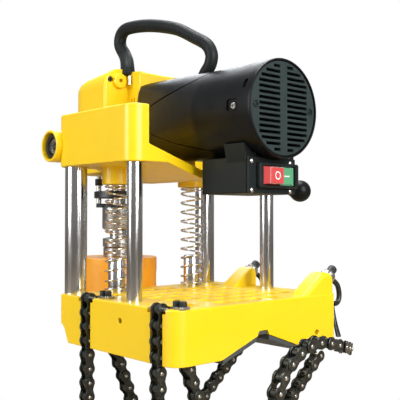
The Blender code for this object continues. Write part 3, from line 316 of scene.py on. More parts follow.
def ranged(tree, value, low, high, from_low=0.3, from_high=0.7):
    made = tree.nodes.new("ShaderNodeMapRange")
    for socket, number in zip(("From Min", "From Max", "To Min", "To Max"), (from_low, from_high, low, high)):
        made.inputs[socket].default_value = number
    tree.links.new(value, made.inputs["Value"])
    return made.outputs["Result"]


def mixed(tree, factor, first, second):
    """Mix two colours, or a colour socket with a colour."""
    made = tree.nodes.new("ShaderNodeMix")
    made.data_type = "RGBA"
    for key, value in (("A", first), ("B", second)):
        socket = next(s for s in made.inputs if s.name == key and s.type == "RGBA")
        if isinstance(value, bpy.types.NodeSocket):
            tree.links.new(value, socket)
        else:
            socket.default_value = (*value, 1)
    if isinstance(factor, bpy.types.NodeSocket):
        tree.links.new(factor, made.inputs["Factor"])
    else:
        made.inputs["Factor"].default_value = factor
    return next(s for s in made.outputs if s.type == "RGBA")


def bumped(tree, height, strength, distance, below=None):
    made = tree.nodes.new("ShaderNodeBump")
    made.inputs["Strength"].default_value = strength
    made.inputs["Distance"].default_value = distance
    tree.links.new(height, made.inputs["Height"])
    if below:
        tree.links.new(below, made.inputs["Normal"])
    return made.outputs["Normal"]


def finish_of(name, colour, other, rough, metallic=0, patch=25, grain=1500, depth=0.00003, relief=0.4,
              coat=0, stretch=(1, 1, 1), stain=None, wave=None):
    """Colour drifts between two tones in patches, roughness drifts with it, and grain raises the surface."""
    made, tree, shader = new_material(name)
    vector = coordinates(tree)
    lined = coordinates(tree, stretch)
    patches = noise(tree, vector, patch, 4)
    tone = mixed(tree, ranged(tree, patches, 0, 1), colour, other)
    if stain:
        spots = noise(tree, vector, stain[1], 6, 0.65)
        tone = mixed(tree, ranged(tree, spots, 0, stain[2], 0.52, 0.72), tone, stain[0])
    tree.links.new(tone, shader.inputs["Base Color"])
    fine = noise(tree, lined, grain, 3)
    rub = noise(tree, lined, patch * 3, 5)
    tree.links.new(ranged(tree, rub, rough[0], rough[1]), shader.inputs["Roughness"])
    normal = bumped(tree, fine, relief, depth)
    if wave:
        normal = bumped(tree, noise(tree, vector, wave[0], 2), wave[1], wave[2], normal)
    tree.links.new(normal, shader.inputs["Normal"])
    shader.inputs["Metallic"].default_value = metallic
    shader.inputs["Coat Weight"].default_value = coat
    shader.inputs["Coat Roughness"].default_value = 0.12
    return made


YELLOW = finish_of("yellow_paint_finish", (0.88, 0.6, 0.004), (0.85, 0.57, 0.003), (0.3, 0.42), patch=14,
                   grain=950, depth=0.00005, relief=0.35, coat=0.08, wave=(170, 0.25, 0.0002))
BLACK = finish_of("black_plastic_finish", (0.003, 0.0035, 0.004), (0.005, 0.006, 0.007), (0.3, 0.4),
                  patch=20, grain=2600, depth=0.00006, relief=0.4, wave=(260, 0.12, 0.0001))
GRILLE = finish_of("grille_plastic_finish", (0.02, 0.031, 0.031), (0.026, 0.038, 0.038), (0.4, 0.55),
                   patch=30, grain=2600, depth=0.00005)
RUBBER = finish_of("grip_rubber_finish", (0.01, 0.012, 0.013), (0.014, 0.017, 0.018), (0.42, 0.56),
                   patch=30, grain=3200, depth=0.00008, relief=0.5)
CHROME = finish_of("column_chrome_finish", (0.72, 0.72, 0.72), (0.6, 0.6, 0.61), (0.08, 0.2), metallic=1,
                   patch=18, grain=420, depth=0.00001, relief=0.25, stretch=(6, 6, 0.25))
STEEL = finish_of("bright_steel_finish", (0.55, 0.55, 0.54), (0.42, 0.42, 0.41), (0.18, 0.36), metallic=1,
                  patch=40, grain=700, depth=0.00003, relief=0.3, stretch=(1, 1, 5),
                  stain=((0.2, 0.19, 0.17), 60, 0.45))
DARK = finish_of("dark_steel_finish", (0.03, 0.033, 0.035), (0.055, 0.058, 0.06), (0.3, 0.48), metallic=0.8,
                 patch=45, grain=900, depth=0.00005, stain=((0.12, 0.11, 0.1), 120, 0.35))
CHAIN = finish_of("chain_steel_finish", (0.03, 0.036, 0.036), (0.075, 0.08, 0.07), (0.24, 0.46),
                  metallic=0.85, patch=85, grain=1100, depth=0.00005, stain=((0.2, 0.17, 0.12), 150, 0.5))
PIN = finish_of("chain_pin_finish", (0.62, 0.6, 0.55), (0.42, 0.4, 0.36), (0.18, 0.34), metallic=1,
                patch=160, grain=1200, depth=0.00004, stain=((0.16, 0.14, 0.1), 300, 0.6))
ORANGE = finish_of("orange_paint_finish", (0.88, 0.37, 0.012), (0.84, 0.34, 0.01), (0.3, 0.45), patch=25,
                   grain=900, depth=0.00005, coat=0.2, stain=((0.7, 0.27, 0.02), 90, 0.3))
COPPER = finish_of("copper_winding_finish", (0.6, 0.22, 0.1), (0.4, 0.13, 0.06), (0.3, 0.5), metallic=1,
                   patch=60, grain=600, depth=0.0002, relief=0.8, stretch=(0.2, 4, 4))
BRONZE = finish_of("bush_bronze_finish", (0.6, 0.38, 0.14), (0.45, 0.27, 0.1), (0.25, 0.45), metallic=1,
                   grain=900)
RED = finish_of("red_button_finish", (0.55, 0.06, 0.06), (0.48, 0.05, 0.055), (0.28, 0.4), patch=60,
                grain=2000, depth=0.00002)
GREEN = finish_of("green_button_finish", (0.09, 0.32, 0.16), (0.075, 0.28, 0.14), (0.28, 0.4), patch=60,
                  grain=2000, depth=0.00002)
PAD = finish_of("pipe_pad_finish", (0.045, 0.055, 0.055), (0.06, 0.072, 0.07), (0.5, 0.65), patch=30,
                grain=1800, depth=0.0001, relief=0.5, stain=((0.1, 0.1, 0.09), 90, 0.4))
BOXBLACK = finish_of("switch_box_finish", (0.008, 0.011, 0.011), (0.011, 0.015, 0.015), (0.36, 0.5),
                     patch=24, grain=2200, depth=0.00008, relief=0.5)
WHITE = finish_of("white_mark_finish", (0.85, 0.85, 0.84), (0.78, 0.78, 0.77), (0.35, 0.5), patch=60,
                  grain=2000, depth=0.00002)
DULL_SPECULAR = 0.16
for dull in (BLACK, RUBBER, BOXBLACK, GRILLE):
    dull.node_tree.nodes["Principled BSDF"].inputs["Specular IOR Level"].default_value = DULL_SPECULAR
FINISH = {"yellow_paint": YELLOW, "black_plastic": BLACK, "black_rubber": RUBBER, "chrome_steel": CHROME,
          "bright_steel": STEEL, "dark_steel": DARK, "chain_steel": CHAIN, "orange_paint": ORANGE,
          "copper": COPPER, "brass": BRONZE, "red_plastic": RED, "green_plastic": GREEN}


def dress_cad_nodes():
    """Every CAD node gets its finish; a better shape may stand for it later."""
    for name, node in NODES.items():
        node.data.materials.clear()
        node.data.materials.append(FINISH[SLOT_OF[name]])


# ---------------------------------------------------------------- stage, light and camera

EYE = Vector((0.7649, -0.6818, 0.2320))
LOOK_AZIMUTH, LOOK_PITCH = math.radians(48.14), math.radians(1.38)
LENS, SENSOR = 63.7, 36
PALE = (1, 1, 1, 1)
FLOOR_HALF, FLOOR_DEEP, FLOOR_GAP = 9000, 20, 2
WORLD_STRENGTH = 0.4


def area_light(name, place_at, aim_at, size, power, colour=(1, 1, 1)):
    data = bpy.data.lights.new(name, "AREA")
    data.shape = "RECTANGLE"
    data.size, data.size_y = size
    data.energy = power
    data.color = colour
    lamp = bpy.data.objects.new(name, data)
    lamp.location = place_at
    lamp.rotation_euler = (Vector(aim_at) - Vector(place_at)).to_track_quat("-Z", "Y").to_euler()
    bpy.context.scene.collection.objects.link(lamp)
    return lamp


def seen_mix(tree, seen, unseen):
    """One value for what the camera sees directly, another for all other rays."""
    path = tree.nodes.new("ShaderNodeLightPath")
    made = tree.nodes.new("ShaderNodeMixShader")
    tree.links.new(path.outputs["Is Camera Ray"], made.inputs[0])
    tree.links.new(unseen, made.inputs[1])
    tree.links.new(seen, made.inputs[2])
    return made.outputs[0]


def build_stage():
    low = CAD_BOX[0][2] / MM - FLOOR_GAP
    outline = rounded_rectangle(-FLOOR_HALF, FLOOR_HALF, -FLOOR_HALF, FLOOR_HALF, [FLOOR_HALF / 10] * 4)
    floor = as_object("floor", prism(outline, low - FLOOR_DEEP, low))
    made, tree, shader = new_material("pale_floor_finish")
    drift = ranged(tree, noise(tree, coordinates(tree), 3), 0, 1)
    tone = mixed(tree, drift, (0.34, 0.28, 0.21), (0.3, 0.25, 0.19))
    tree.links.new(tone, shader.inputs["Base Color"])
    shader.inputs["Roughness"].default_value = 0.7
    pale = tree.nodes.new("ShaderNodeEmission")
    pale.inputs["Color"].default_value = PALE
    output = next(node for node in tree.nodes if node.type == "OUTPUT_MATERIAL")
    tree.links.new(seen_mix(tree, pale.outputs[0], shader.outputs[0]), output.inputs["Surface"])
    floor.data.materials.append(made)
    bpy.context.scene.view_settings.view_transform = "Standard"
    world = bpy.data.worlds.new("studio")
    world.use_nodes = True
    tree = world.node_tree
    soft = tree.nodes["Background"]
    soft.inputs["Strength"].default_value = WORLD_STRENGTH
    way = tree.nodes.new("ShaderNodeTexCoord")
    parts = tree.nodes.new("ShaderNodeSeparateXYZ")
    tree.links.new(way.outputs["Generated"], parts.inputs[0])
    tint = tree.nodes.new("ShaderNodeValToRGB")
    for stop, position, colour in zip(tint.color_ramp.elements, (0, 0.7), ((0.2, 0.17, 0.13, 1), PALE)):
        stop.position, stop.color = position, colour
    tree.links.new(ranged(tree, parts.outputs[2], 0, 1, -0.3, 0.7), tint.inputs[0])
    tree.links.new(tint.outputs[0], soft.inputs["Color"])
    white = tree.nodes.new("ShaderNodeBackground")
    white.inputs["Color"].default_value = PALE
    output = next(node for node in tree.nodes if node.type == "OUTPUT_WORLD")
    tree.links.new(seen_mix(tree, white.outputs[0], soft.outputs[0]), output.inputs["Surface"])
    bpy.context.scene.world = world
    area_light("key", (1.7, -0.1, 0.9), (0, 0, 0.25), (1, 1.3), 43.5)
    area_light("fill", (-0.5, -1.9, 0.8), (0, 0, 0.25), (1, 1.2), 27.5)
    area_light("rim", (-1.1, 0.74, 1.23), (0.1, 0, 0.43), (0.9, 0.9), 10, (0.9, 0.95, 1))
    area_light("top", (-0.2, 0.2, 1.9), (0, 0, 0.3), (1, 1), 32.5)


def build_camera():
    data = bpy.data.cameras.new("camera")
    data.sensor_width = SENSOR
    data.lens = LENS
    data.clip_start, data.clip_end = 0.01, 50
    camera = bpy.data.objects.new("camera", data)
    camera.location = EYE
    look = Vector((-math.sin(LOOK_AZIMUTH) * math.cos(LOOK_PITCH),
                   math.cos(LOOK_AZIMUTH) * math.cos(LOOK_PITCH), math.sin(LOOK_PITCH)))
    camera.rotation_euler = look.to_track_quat("-Z", "Y").to_euler()
    bpy.context.scene.collection.objects.link(camera)
    bpy.context.scene.camera = camera


# ---------------------------------------------------------------- chains

PITCH = 19.05
CHAIN_X = (-62, 93.5)
WRAP_R = 79.5
EDGE_PIN, FIRST_TAIL, OVER_EDGE, IN_SHAFT = (-146, 120.5), (-148, 101.56), (-128, 114.2), (-121.4, 96.3)
HOOK_END = (158, 30)
TAIL_LINKS = 9
PLATE_BEVEL = 0.55
STUD = ((0, -9), (1.9, -9), (2.7, -8.4), (2.9, -7.8), (2.9, 7.8), (2.7, 8.4), (1.9, 9), (0, 9))
ROLLER = ((0, -4.2), (5.4, -4.2), (6, -3.6), (6, 3.6), (5.4, 4.2), (0, 4.2))
OUTER_WRAP_X = 216
SLACK_START, SLACK_TURN = (147, 150, 44), math.radians(165)


def pins_along(point, total):
    here = point(0)
    pins = [Vector(here)]
    s = 0
    while True:
        step = PITCH
        while s + step <= total and (point(s + step) - here).length < PITCH:
            step += 0.05
        if s + step > total:
            return pins
        s += step
        here = point(s)
        pins.append(Vector(here))


def tangent_turn(spot, side):
    reach = math.hypot(*spot)
    turn = math.atan2(spot[1], spot[0]) + side * math.acos(WRAP_R / reach)
    return turn, math.sqrt(reach ** 2 - WRAP_R ** 2)


def on_wrap(angle):
    return WRAP_R * math.cos(angle), WRAP_R * math.sin(angle)


def between(first, second, t):
    return tuple(a + (b - a) * t for a, b in zip(first, second))


def load_pins(x):
    start, straight_in = tangent_turn(IN_SHAFT, 1)
    leave, straight_out = tangent_turn(HOOK_END, -1)
    wrap = WRAP_R * (leave + math.tau - start)

    def point(s):
        if s < straight_in:
            y, z = between(IN_SHAFT, on_wrap(start), s / straight_in)
        elif s < straight_in + wrap:
            y, z = on_wrap(start + (s - straight_in) / WRAP_R)
        else:
            y, z = between(on_wrap(leave), HOOK_END, (s - straight_in - wrap) / straight_out)
        return Vector((x, y, z))

    return [Vector((x, *EDGE_PIN)), Vector((x, *OVER_EDGE)),
            *pins_along(point, straight_in + wrap + straight_out)]


def slack_pins():
    start, straight = tangent_turn(SLACK_START[1:], 1)

    def point(s):
        share = min(s / straight, 1)
        x = SLACK_START[0] + (OUTER_WRAP_X - SLACK_START[0]) * math.sin(share * math.pi / 2)
        if s < straight:
            y, z = between(SLACK_START[1:], on_wrap(start), share)
        else:
            y, z = on_wrap(start + (s - straight) / WRAP_R)
        return Vector((x, y, z))

    return pins_along(point, straight + WRAP_R * SLACK_TURN)


def plate_outline(steps=9):
    """Waisted link plate round two pins, in (along, across)."""
    radius, waist = 8, 5.3
    upper = [(radius * math.cos(a), radius * math.sin(a))
             for a in (math.radians(180 - 122 * k / steps) for k in range(steps + 1))]
    upper.append((PITCH / 2, waist))
    upper += [(PITCH - u, v) for u, v in reversed(upper[:-1])]
    return upper + [(u, -v) for u, v in reversed(upper[1:-1])]


def chain_pieces(name, pins, body, stands_for, first_outer=0):
    plates, bright = [], []
    outline = plate_outline()
    for i, (start, end) in enumerate(zip(pins, pins[1:])):
        ahead = (end - start).normalized()
        up = ahead.cross(Vector((1, 0, 0))).normalized()
        across = up.cross(ahead)
        matrix = Matrix((ahead, up, across)).transposed().to_4x4()
        matrix.translation = start
        outer = (i + first_outer) % 2 == 0
        low, high = (6.2, 7.8) if outer else (4.4, 6)
        for side in (-1, 1):
            z0, z1 = sorted((side * low, side * high))
            edge = [((u - PITCH / 2) * 0.965 + PITCH / 2, v * 0.93) for u, v in outline]
            rings = ((edge, z0), (outline, z0 + PLATE_BEVEL), (outline, z1 - PLATE_BEVEL), (edge, z1))
            plates.append(moved(skin([[(u, v, z) for u, v in flat] for flat, z in rings]), matrix))
        for u in (0, PITCH):
            if outer:
                bright.append(moved(turned(STUD, (u, 0, 0), segments=20), matrix))
            else:
                plates.append(moved(turned(ROLLER, (u, 0, 0), segments=24), matrix))
    piece(f"{name}_plates", joined(plates), CHAIN, body=body, stands_for=stands_for, slot="chain_steel",
          angle=28)
    piece(f"{name}_pins", joined(bright), PIN, body=body, slot="bright_steel", angle=40)


def build_chains():
    for index, x in enumerate(CHAIN_X):
        number = index + 1
        chain_pieces(f"chain_{number}_run", load_pins(x), "base_frame", f"chain_{number}_load", 1)
        tail = [Vector((x, *EDGE_PIN))] + [Vector((x, FIRST_TAIL[0], FIRST_TAIL[1] - PITCH * k))
                                           for k in range(TAIL_LINKS)]
        chain_pieces(f"chain_{number}_hanging", tail, f"tail_{number}", f"chain_{number}_tail", 0)
    chain_pieces("chain_2_spare", slack_pins(), "base_frame", "chain_2_slack", 0)


# ---------------------------------------------------------------- springs and posts

def build_springs():
    for side in ("near", "far"):
        low, high = span(f"spring_{side}")
        centre = (low + high) / 2
        radius, wire, turns = (high.x - low.x) / 2 - 1.5, 1.5, 12
        path = []
        steps = turns * 40
        bottom, top = low.z + wire, high.z - wire
        for i in range(steps + 1):
            share = i / steps
            flat = 1 / turns
            rise = min(max((share - flat) / (1 - 2 * flat), 0), 1)
            ease = 2.3 * wire
            height = bottom + ease * min(share / flat, 1) + (top - bottom - 2 * ease) * rise
            height += ease * max((share - 1 + flat) / flat, 0)
            angle = math.tau * turns * share
            path.append((centre.x + radius * math.cos(angle), centre.y + radius * math.sin(angle), height))
        coil = piece(f"return_spring_{side}", swept(path, wire, 10), CHROME, stands_for=f"spring_{side}",
                     angle=50)
        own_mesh(coil)


# ---------------------------------------------------------------- base

BASE_X, BASE_Y, BASE_LOW, BASE_HIGH = 128.5, 151, 54, 122
V_HALF, V_APEX, RELIEF_HALF, RELIEF_TOP = 77, 81.5, 10.5, 84
RACK_X, COLUMN_Y, RACK_R = -125.7, 126.7, 16
GUIDE_X, GUIDE_R = 17, 10.5
COLUMN_FOOT, COLUMN_TOP = 72, 376
SPRING_X, SPRING_Y, POST_R = -99, 73.5, 12.5
LUG_X, LUG_HALF, LUG_INNER, LUG_RISE = (-42, 113.5), 14.4, (98, 84), 44
LEAN = math.pi / 2 - math.radians(40)
WASHER_YZ = (155, 146.5)
SIDES = ((-1, "near"), (1, "far"))


def v_height(y, lift=0):
    return BASE_LOW + (V_APEX - BASE_LOW) * (1 - abs(y) / V_HALF) - lift


def pocket(x, y, size, floor):
    """Cutter for a cast pocket: rounded floor edge and a rolled rim."""
    half = size / 2
    return layered(lambda inset: rounded_rectangle(x - half + inset, x + half - inset, y - half + inset,
                                                   y + half - inset, [4.5 - inset * 0.8] * 4, 5),
                   ((floor, 3), (floor + 0.8, 1), (floor + 3, 0), (BASE_HIGH - 2.2, 0), (BASE_HIGH - 1, -0.5),
                    (BASE_HIGH - 0.35, -1.1), (BASE_HIGH, -2), (BASE_HIGH + 5, -2)))


def base_pockets():
    pitch, size = 31, 24
    keep = [(RACK_X, COLUMN_Y, 40), (RACK_X, -COLUMN_Y, 40), (GUIDE_X, COLUMN_Y, 32),
            (GUIDE_X, -COLUMN_Y, 32), (SPRING_X, SPRING_Y, 37), (SPRING_X, -SPRING_Y, 37)]
    pockets = []
    for i in range(-3, 4):
        for j in range(-4, 4):
            x, y = i * pitch + 6, (j + 0.5) * pitch
            if any(math.hypot(x - kx, y - ky) < reach for kx, ky, reach in keep):
                continue
            if y < -75 and any(abs(x - cx) < 16 + size / 2 + 4 for cx in CHAIN_X):
                continue
            if y < -88 or any(abs(x - lx) < LUG_HALF + size / 2 + 3 and y > inner - size / 2 - 4
                                for lx, inner in zip(LUG_X, LUG_INNER)):
                continue
            pockets.append(pocket(x, y, size, 93 if abs(y) < 62 else 78))
    return pockets


def lug(centre_x, inner):
    nose = [(138 + 13 * math.sin(a), 139 + 13 * math.cos(a))
            for a in (math.radians(7.5 * k) for k in range(0, 13))]
    top = inner + LUG_RISE
    outline = [(inner - 12, BASE_HIGH - 12), (inner, BASE_HIGH), (top - 7, 148.2), (top - 3, 150.2),
               (top, 151.2)] + [spot for spot in nose if spot[0] > top + 0.5]
    outline.append((BASE_Y, BASE_HIGH - 12))
    return rounded(prism(outline, centre_x - LUG_HALF, centre_x + LUG_HALF, "X"), 7.5, 6)


def screw_head(radius, height, socket):
    """Socket head screw standing on z = 0."""
    head = turned([(0, 0), (radius, 0), (radius, height - 0.8), (radius - 0.8, height), (0, height)],
                  segments=36)
    return carved(head, cut(prism(circle(socket, 6), height * 0.4, height + 2)))


def build_base():
    block = layered(lambda inset: rounded_rectangle(-BASE_X + inset, BASE_X - inset, -BASE_Y + inset,
                                                    BASE_Y - inset, [4 - inset] * 3 + [20 - inset], 14),
                    ((BASE_LOW, 1.6), (BASE_LOW + 0.5, 0.5), (BASE_LOW + 1.6, 0), (BASE_HIGH - 2.4, 0),
                     (BASE_HIGH - 1.1, 0.35), (BASE_HIGH - 0.35, 1.1), (BASE_HIGH, 2.4)))
    vee = [(-V_HALF, BASE_LOW), (-RELIEF_HALF, v_height(RELIEF_HALF)), (-RELIEF_HALF + 0.6, RELIEF_TOP - 3),
           (-RELIEF_HALF + 3, RELIEF_TOP)]
    vee += [(-y, z) for y, z in reversed(vee)] + [(V_HALF + 4, BASE_LOW - 10), (-V_HALF - 4, BASE_LOW - 10)]
    step = [(BASE_LOW - 5, -BASE_X - 5), (BASE_LOW - 5, -BASE_X + 24), (BASE_LOW, -BASE_X + 22),
            (74, -BASE_X + 12), (77.5, -BASE_X + 8.5), (79.8, -BASE_X + 4.5), (81, -BASE_X),
            (81, -BASE_X - 5)]
    steps = [add(lug(x, inner)) for x, inner in zip(LUG_X, LUG_INNER)]
    steps += [cut(prism(vee, -BASE_X - 5, BASE_X + 5, "X")),
              cut(prism(step, -BASE_Y - 5, BASE_Y + 5, "Y")),
              cut(joined(base_pockets()))]
    for half, y0, y1, z0 in ((12.5, -133, -91, BASE_LOW - 5), (12, -BASE_Y - 5, -139, BASE_LOW - 5),
                             (17.5, -BASE_Y - 6, -140, 116.2), (11.5, -BASE_Y - 7, -128, 100)):
        steps.append(cut(joined([box(x - half, x + half, y0, y1, z0, BASE_HIGH + 5 + half / 10)
                                            for x in CHAIN_X])))
    bores = []
    for side, _ in SIDES:
        bores.append(rod(RACK_R + 0.3, COLUMN_FOOT - 0.3, BASE_HIGH + 9, (RACK_X, side * COLUMN_Y, 0)))
        bores.append(rod(GUIDE_R + 0.3, COLUMN_FOOT - 0.3, BASE_HIGH + 9, (GUIDE_X, side * COLUMN_Y, 0)))
        bores.append(rod(6.3, 104, BASE_HIGH + 9, (SPRING_X, side * SPRING_Y, 0)))
    holes = []
    for inner, outer, side in ((-GUIDE_R - COLUMN_Y + 1, -BASE_Y, -1), (GUIDE_R + COLUMN_Y - 1, BASE_Y, 1)):
        profile = [(0, inner), (3.6, inner), (3.6, outer - side * 0.8), (4.6, outer), (4.6, outer + side * 5),
                   (0, outer + side * 5)]
        holes.append(turned(profile, (18, 0, 99), "Y", 28))
    holes.append(turned([(0, 112), (4, 112), (4, BASE_X - 0.8), (5, BASE_X), (5, BASE_X + 5),
                         (0, BASE_X + 5)], (0, 110.5, 69), "X", 28))
    seats = []
    for x in LUG_X:
        holes.append(tilted(LEAN, (x, *WASHER_YZ), rod(5.3, -42, 20)))
        seats.append(tilted(LEAN, (x, *WASHER_YZ), rod(12.3, -6, 30)))
    steps += [cut(joined(bores)), cut(joined(holes)), cut(joined(seats))]
    piece("base_casting", carved(block, *steps), YELLOW, stands_for="base", weighted=True)


def build_base_fittings():
    """Pads in the V, set screws of the columns, and what holds the chains at the near edge."""
    for side, end in SIDES:
        inner, outer = RELIEF_HALF + 1, V_HALF - 5
        slope = math.atan2(V_APEX - BASE_LOW, V_HALF)
        drop = 6.5 / math.cos(slope)
        outline = [(side * inner, v_height(inner, 0.3)), (side * outer, v_height(outer, 0.3)),
                   (side * outer, v_height(outer, drop)), (side * inner, v_height(inner, drop))]
        pad = rounded(prism(outline, -BASE_X + 24, BASE_X - 1, "X"), 0.9, 3)
        piece(f"pipe_pad_{end}", pad, PAD, stands_for=f"v_pad_{end}", weighted=True)
    liner = rounded(box(-BASE_X + 26, BASE_X - 2, -RELIEF_HALF + 1.6, RELIEF_HALF - 1.6, RELIEF_TOP - 5.6,
                        RELIEF_TOP - 0.6), 0.8, 2)
    piece("relief_liner", liner, PAD, body="base_frame", slot="black_rubber", weighted=True)
    grubs = []
    for side, _ in SIDES:
        grubs.append(moved(screw_head(3.3, 4, 1.7), facing((18, side * 142.5, 99), "X", -side)))
    piece("column_set_screws", joined(grubs), DARK, body="base_frame")
    for index, x in enumerate(CHAIN_X):
        number = index + 1
        plate = rounded(prism(rounded_rectangle(x + 13.5, x + 35.5, -141, -126, [3] * 4, 5), 122.3, 125.3),
                        0.5, 2)
        piece(f"chain_guard_{number}", plate, STEEL, stands_for=f"guard_plate_{number}", weighted=True)
        heads = [moved(screw_head(4.6, 6.4, 2.3), Matrix.Translation((x + dx, -134.5, 125.35)))
                 for dx in (18.4, 30.6)]
        piece(f"guard_screws_{number}", joined(heads), DARK, body="base_frame", weighted=True)
        pin = turned([(0, x - 16.5), (2.5, x - 16.5), (3.1, x - 15.9), (3.1, x + 15.9), (2.5, x + 16.5),
                      (0, x + 16.5)], (0, *EDGE_PIN), "X", 32)
        piece(f"hinge_pin_{number}", pin, CHROME, stands_for=f"edge_pin_{number}")


def column(radius, chamfer, centre, segments):
    return turned([(0, COLUMN_FOOT), (radius - chamfer, COLUMN_FOOT), (radius, COLUMN_FOOT + chamfer),
                   (radius, COLUMN_TOP - chamfer), (radius - chamfer, COLUMN_TOP), (0, COLUMN_TOP)],
                  centre, segments=segments)


def build_columns():
    tooth_pitch = math.tau * PINION_PITCH_R / PINION_TEETH
    for side, end in SIDES:
        shaft = column(RACK_R, 1.5, (RACK_X, side * COLUMN_Y, 0), 80)
        spaces = []
        for k in range(-17, 2):
            z = PINION_Z + tooth_pitch * k
            outline = [(z - 1.6, PINION_X + 15.1), (z + 1.6, PINION_X + 15.1), (z + 2.5, RACK_X - RACK_R - 2),
                       (z - 2.5, RACK_X - RACK_R - 2)]
            spaces.append(prism(outline, side * COLUMN_Y - 13, side * COLUMN_Y + 13, "Y"))
        piece(f"rack_shaft_{end}", carved(shaft, cut(joined(spaces))), CHROME,
              stands_for=f"rack_column_{end}")
        piece(f"guide_shaft_{end}", column(GUIDE_R, 1.2, (GUIDE_X, side * COLUMN_Y, 0), 64), CHROME,
              stands_for=f"guide_column_{end}")
        post = turned([(0, 105), (6, 105), (6, 122.3), (POST_R, 122.3), (POST_R, 169),
                       (POST_R - 0.6, 170.4), (POST_R - 2, 171), (0, 171)],
                      (SPRING_X, side * SPRING_Y, 0), segments=56)
        piece(f"stop_post_{end}", post, CHROME, stands_for=f"spring_post_{end}")


def build_tensioners():
    for index, x in enumerate(LUG_X):
        number = index + 1
        centre = (x, *WASHER_YZ)
        collar = turned([(5.5, -5.5), (10.9, -5.5), (11.5, -4.9), (11.5, -0.4), (11.1, 0.2), (9.6, 3.4),
                         (8.8, 4), (5.5, 4)], segments=48, tube=True)
        piece(f"swivel_collar_{number}", tilted(LEAN, centre, collar), STEEL,
              stands_for=f"tension_collar_{number}")
        knob = turned([(0, -38), (3.6, -38), (4.8, -36.8), (4.8, 4.3), (6.3, 4.3), (6.8, 4.8), (6.8, 14),
                       (6.4, 15), (5.6, 15.8), (4.6, 16), (0, 16)], segments=48)
        flutes = [rod(1.1, 6.5, 24, (u, v, 0), segments=14) for u, v in circle(7.3, 12)]
        knob = carved(knob, cut(joined(flutes)))
        piece(f"tension_knob_{number}", tilted(LEAN, centre, knob), DARK,
              stands_for=f"tension_screw_{number}")
        bend = smooth_path([(x, 167.6, 138), (x, 177, 130), (x, 180.8, 118.5), (x, 179.8, 109.5),
                            (x, 175, 104.3), (x, 168, 103.6)], 8)
        foot = Vector((x - 4, 159.5, 43)) if index == 0 else Vector((x + 14, 160.5, 58))
        crook = rounded(swept(bend, 3.85, 20), 0.8, 2)
        shank = smooth_path([(x, 169.2, 104.5), (x, 167.2, 99), (x + (foot.x - x) * 0.4, 164.5, 76),
                             tuple(foot)], 8)
        widths = [1.9 + 3 * min(max((100 - point[2]) / 40, 0), 1) for point in shank]
        bar = swept(shank, widths, 20, 0.6, (1, 0, 0))
        piece(f"hooked_rod_{number}", joined([crook, bar]), DARK, stands_for=f"tension_hook_{number}")


# ---------------------------------------------------------------- head bracket and cover

HEAD_LOW, HEAD_HIGH = 305, 380
RACK_SLEEVE, GUIDE_SLEEVE = 22, 18.5
SPINDLE_X = -199
DOME_BACK, DOME_FRONT, DOME_HALF = -262, -150, 61
DOME_SPLIT, DOME_TOP = 352, 466
PINION_X, PINION_Z, PINION_PITCH_R, PINION_TEETH = -152, 336, 12, 12
COUNTER_Z = 401.8
MOTOR_Z, MOTOR_R = 371, 64.5
MOTOR_FRONT, MOTOR_ROUND = -118, 60
NOSE_HALF, NOSE_TOP, NOSE_BOTTOM = 24, 440, 324
LOW_SEAM = ((-80, 358.5), (-60, 353), (-6, 336.6), (45, 325.2), (74, 319.5))
SEAM = ((-122, 386), (-60, 398.5), (14, 412), (50, 423), (78, 439))


def corner_outline(inset, steps=12):
    outline = []
    for x, y, radius, start in ((GUIDE_X, -COLUMN_Y, GUIDE_SLEEVE, -90), (GUIDE_X, COLUMN_Y, GUIDE_SLEEVE, 0),
                                (RACK_X, COLUMN_Y, RACK_SLEEVE, 90), (RACK_X, -COLUMN_Y, RACK_SLEEVE, 180)):
        for k in range(steps + 1):
            angle = math.radians(start + 90 * k / steps)
            outline.append((x + (radius - inset) * math.cos(angle), y + (radius - inset) * math.sin(angle)))
    return outline


def pot_outline(inset=0, front=DOME_FRONT, steps=14):
    radius = max(50 - inset, 6)
    return rounded_rectangle(DOME_BACK + inset, front, -DOME_HALF + inset, DOME_HALF - inset,
                             [max(6 - inset, 0.5), radius, radius, max(6 - inset, 0.5)], steps)


def motor_section(x, grow=0, steps=96):
    t = min(max((x - MOTOR_FRONT) / (MOTOR_ROUND - MOTOR_FRONT), 0), 1)
    top = NOSE_TOP + (MOTOR_Z + MOTOR_R - NOSE_TOP) * t
    bottom = NOSE_BOTTOM + (MOTOR_Z - MOTOR_R - NOSE_BOTTOM) * t
    half_width = NOSE_HALF + (MOTOR_R - NOSE_HALF) * t + grow
    half_height = (top - bottom) / 2 + grow
    power = 2 / (3.2 - 1.2 * t)
    ring = []
    for i in range(steps):
        angle = math.tau * (i + 0.5) / steps
        c, s = math.cos(angle), math.sin(angle)
        ring.append((x, half_width * math.copysign(abs(c) ** power, c),
                     (top + bottom) / 2 + half_height * math.copysign(abs(s) ** power, s)))
    return ring


def motor_loft(low, high, grow=0, count=24):
    return skin([motor_section(low + (high - low) * k / count, grow) for k in range(count + 1)])


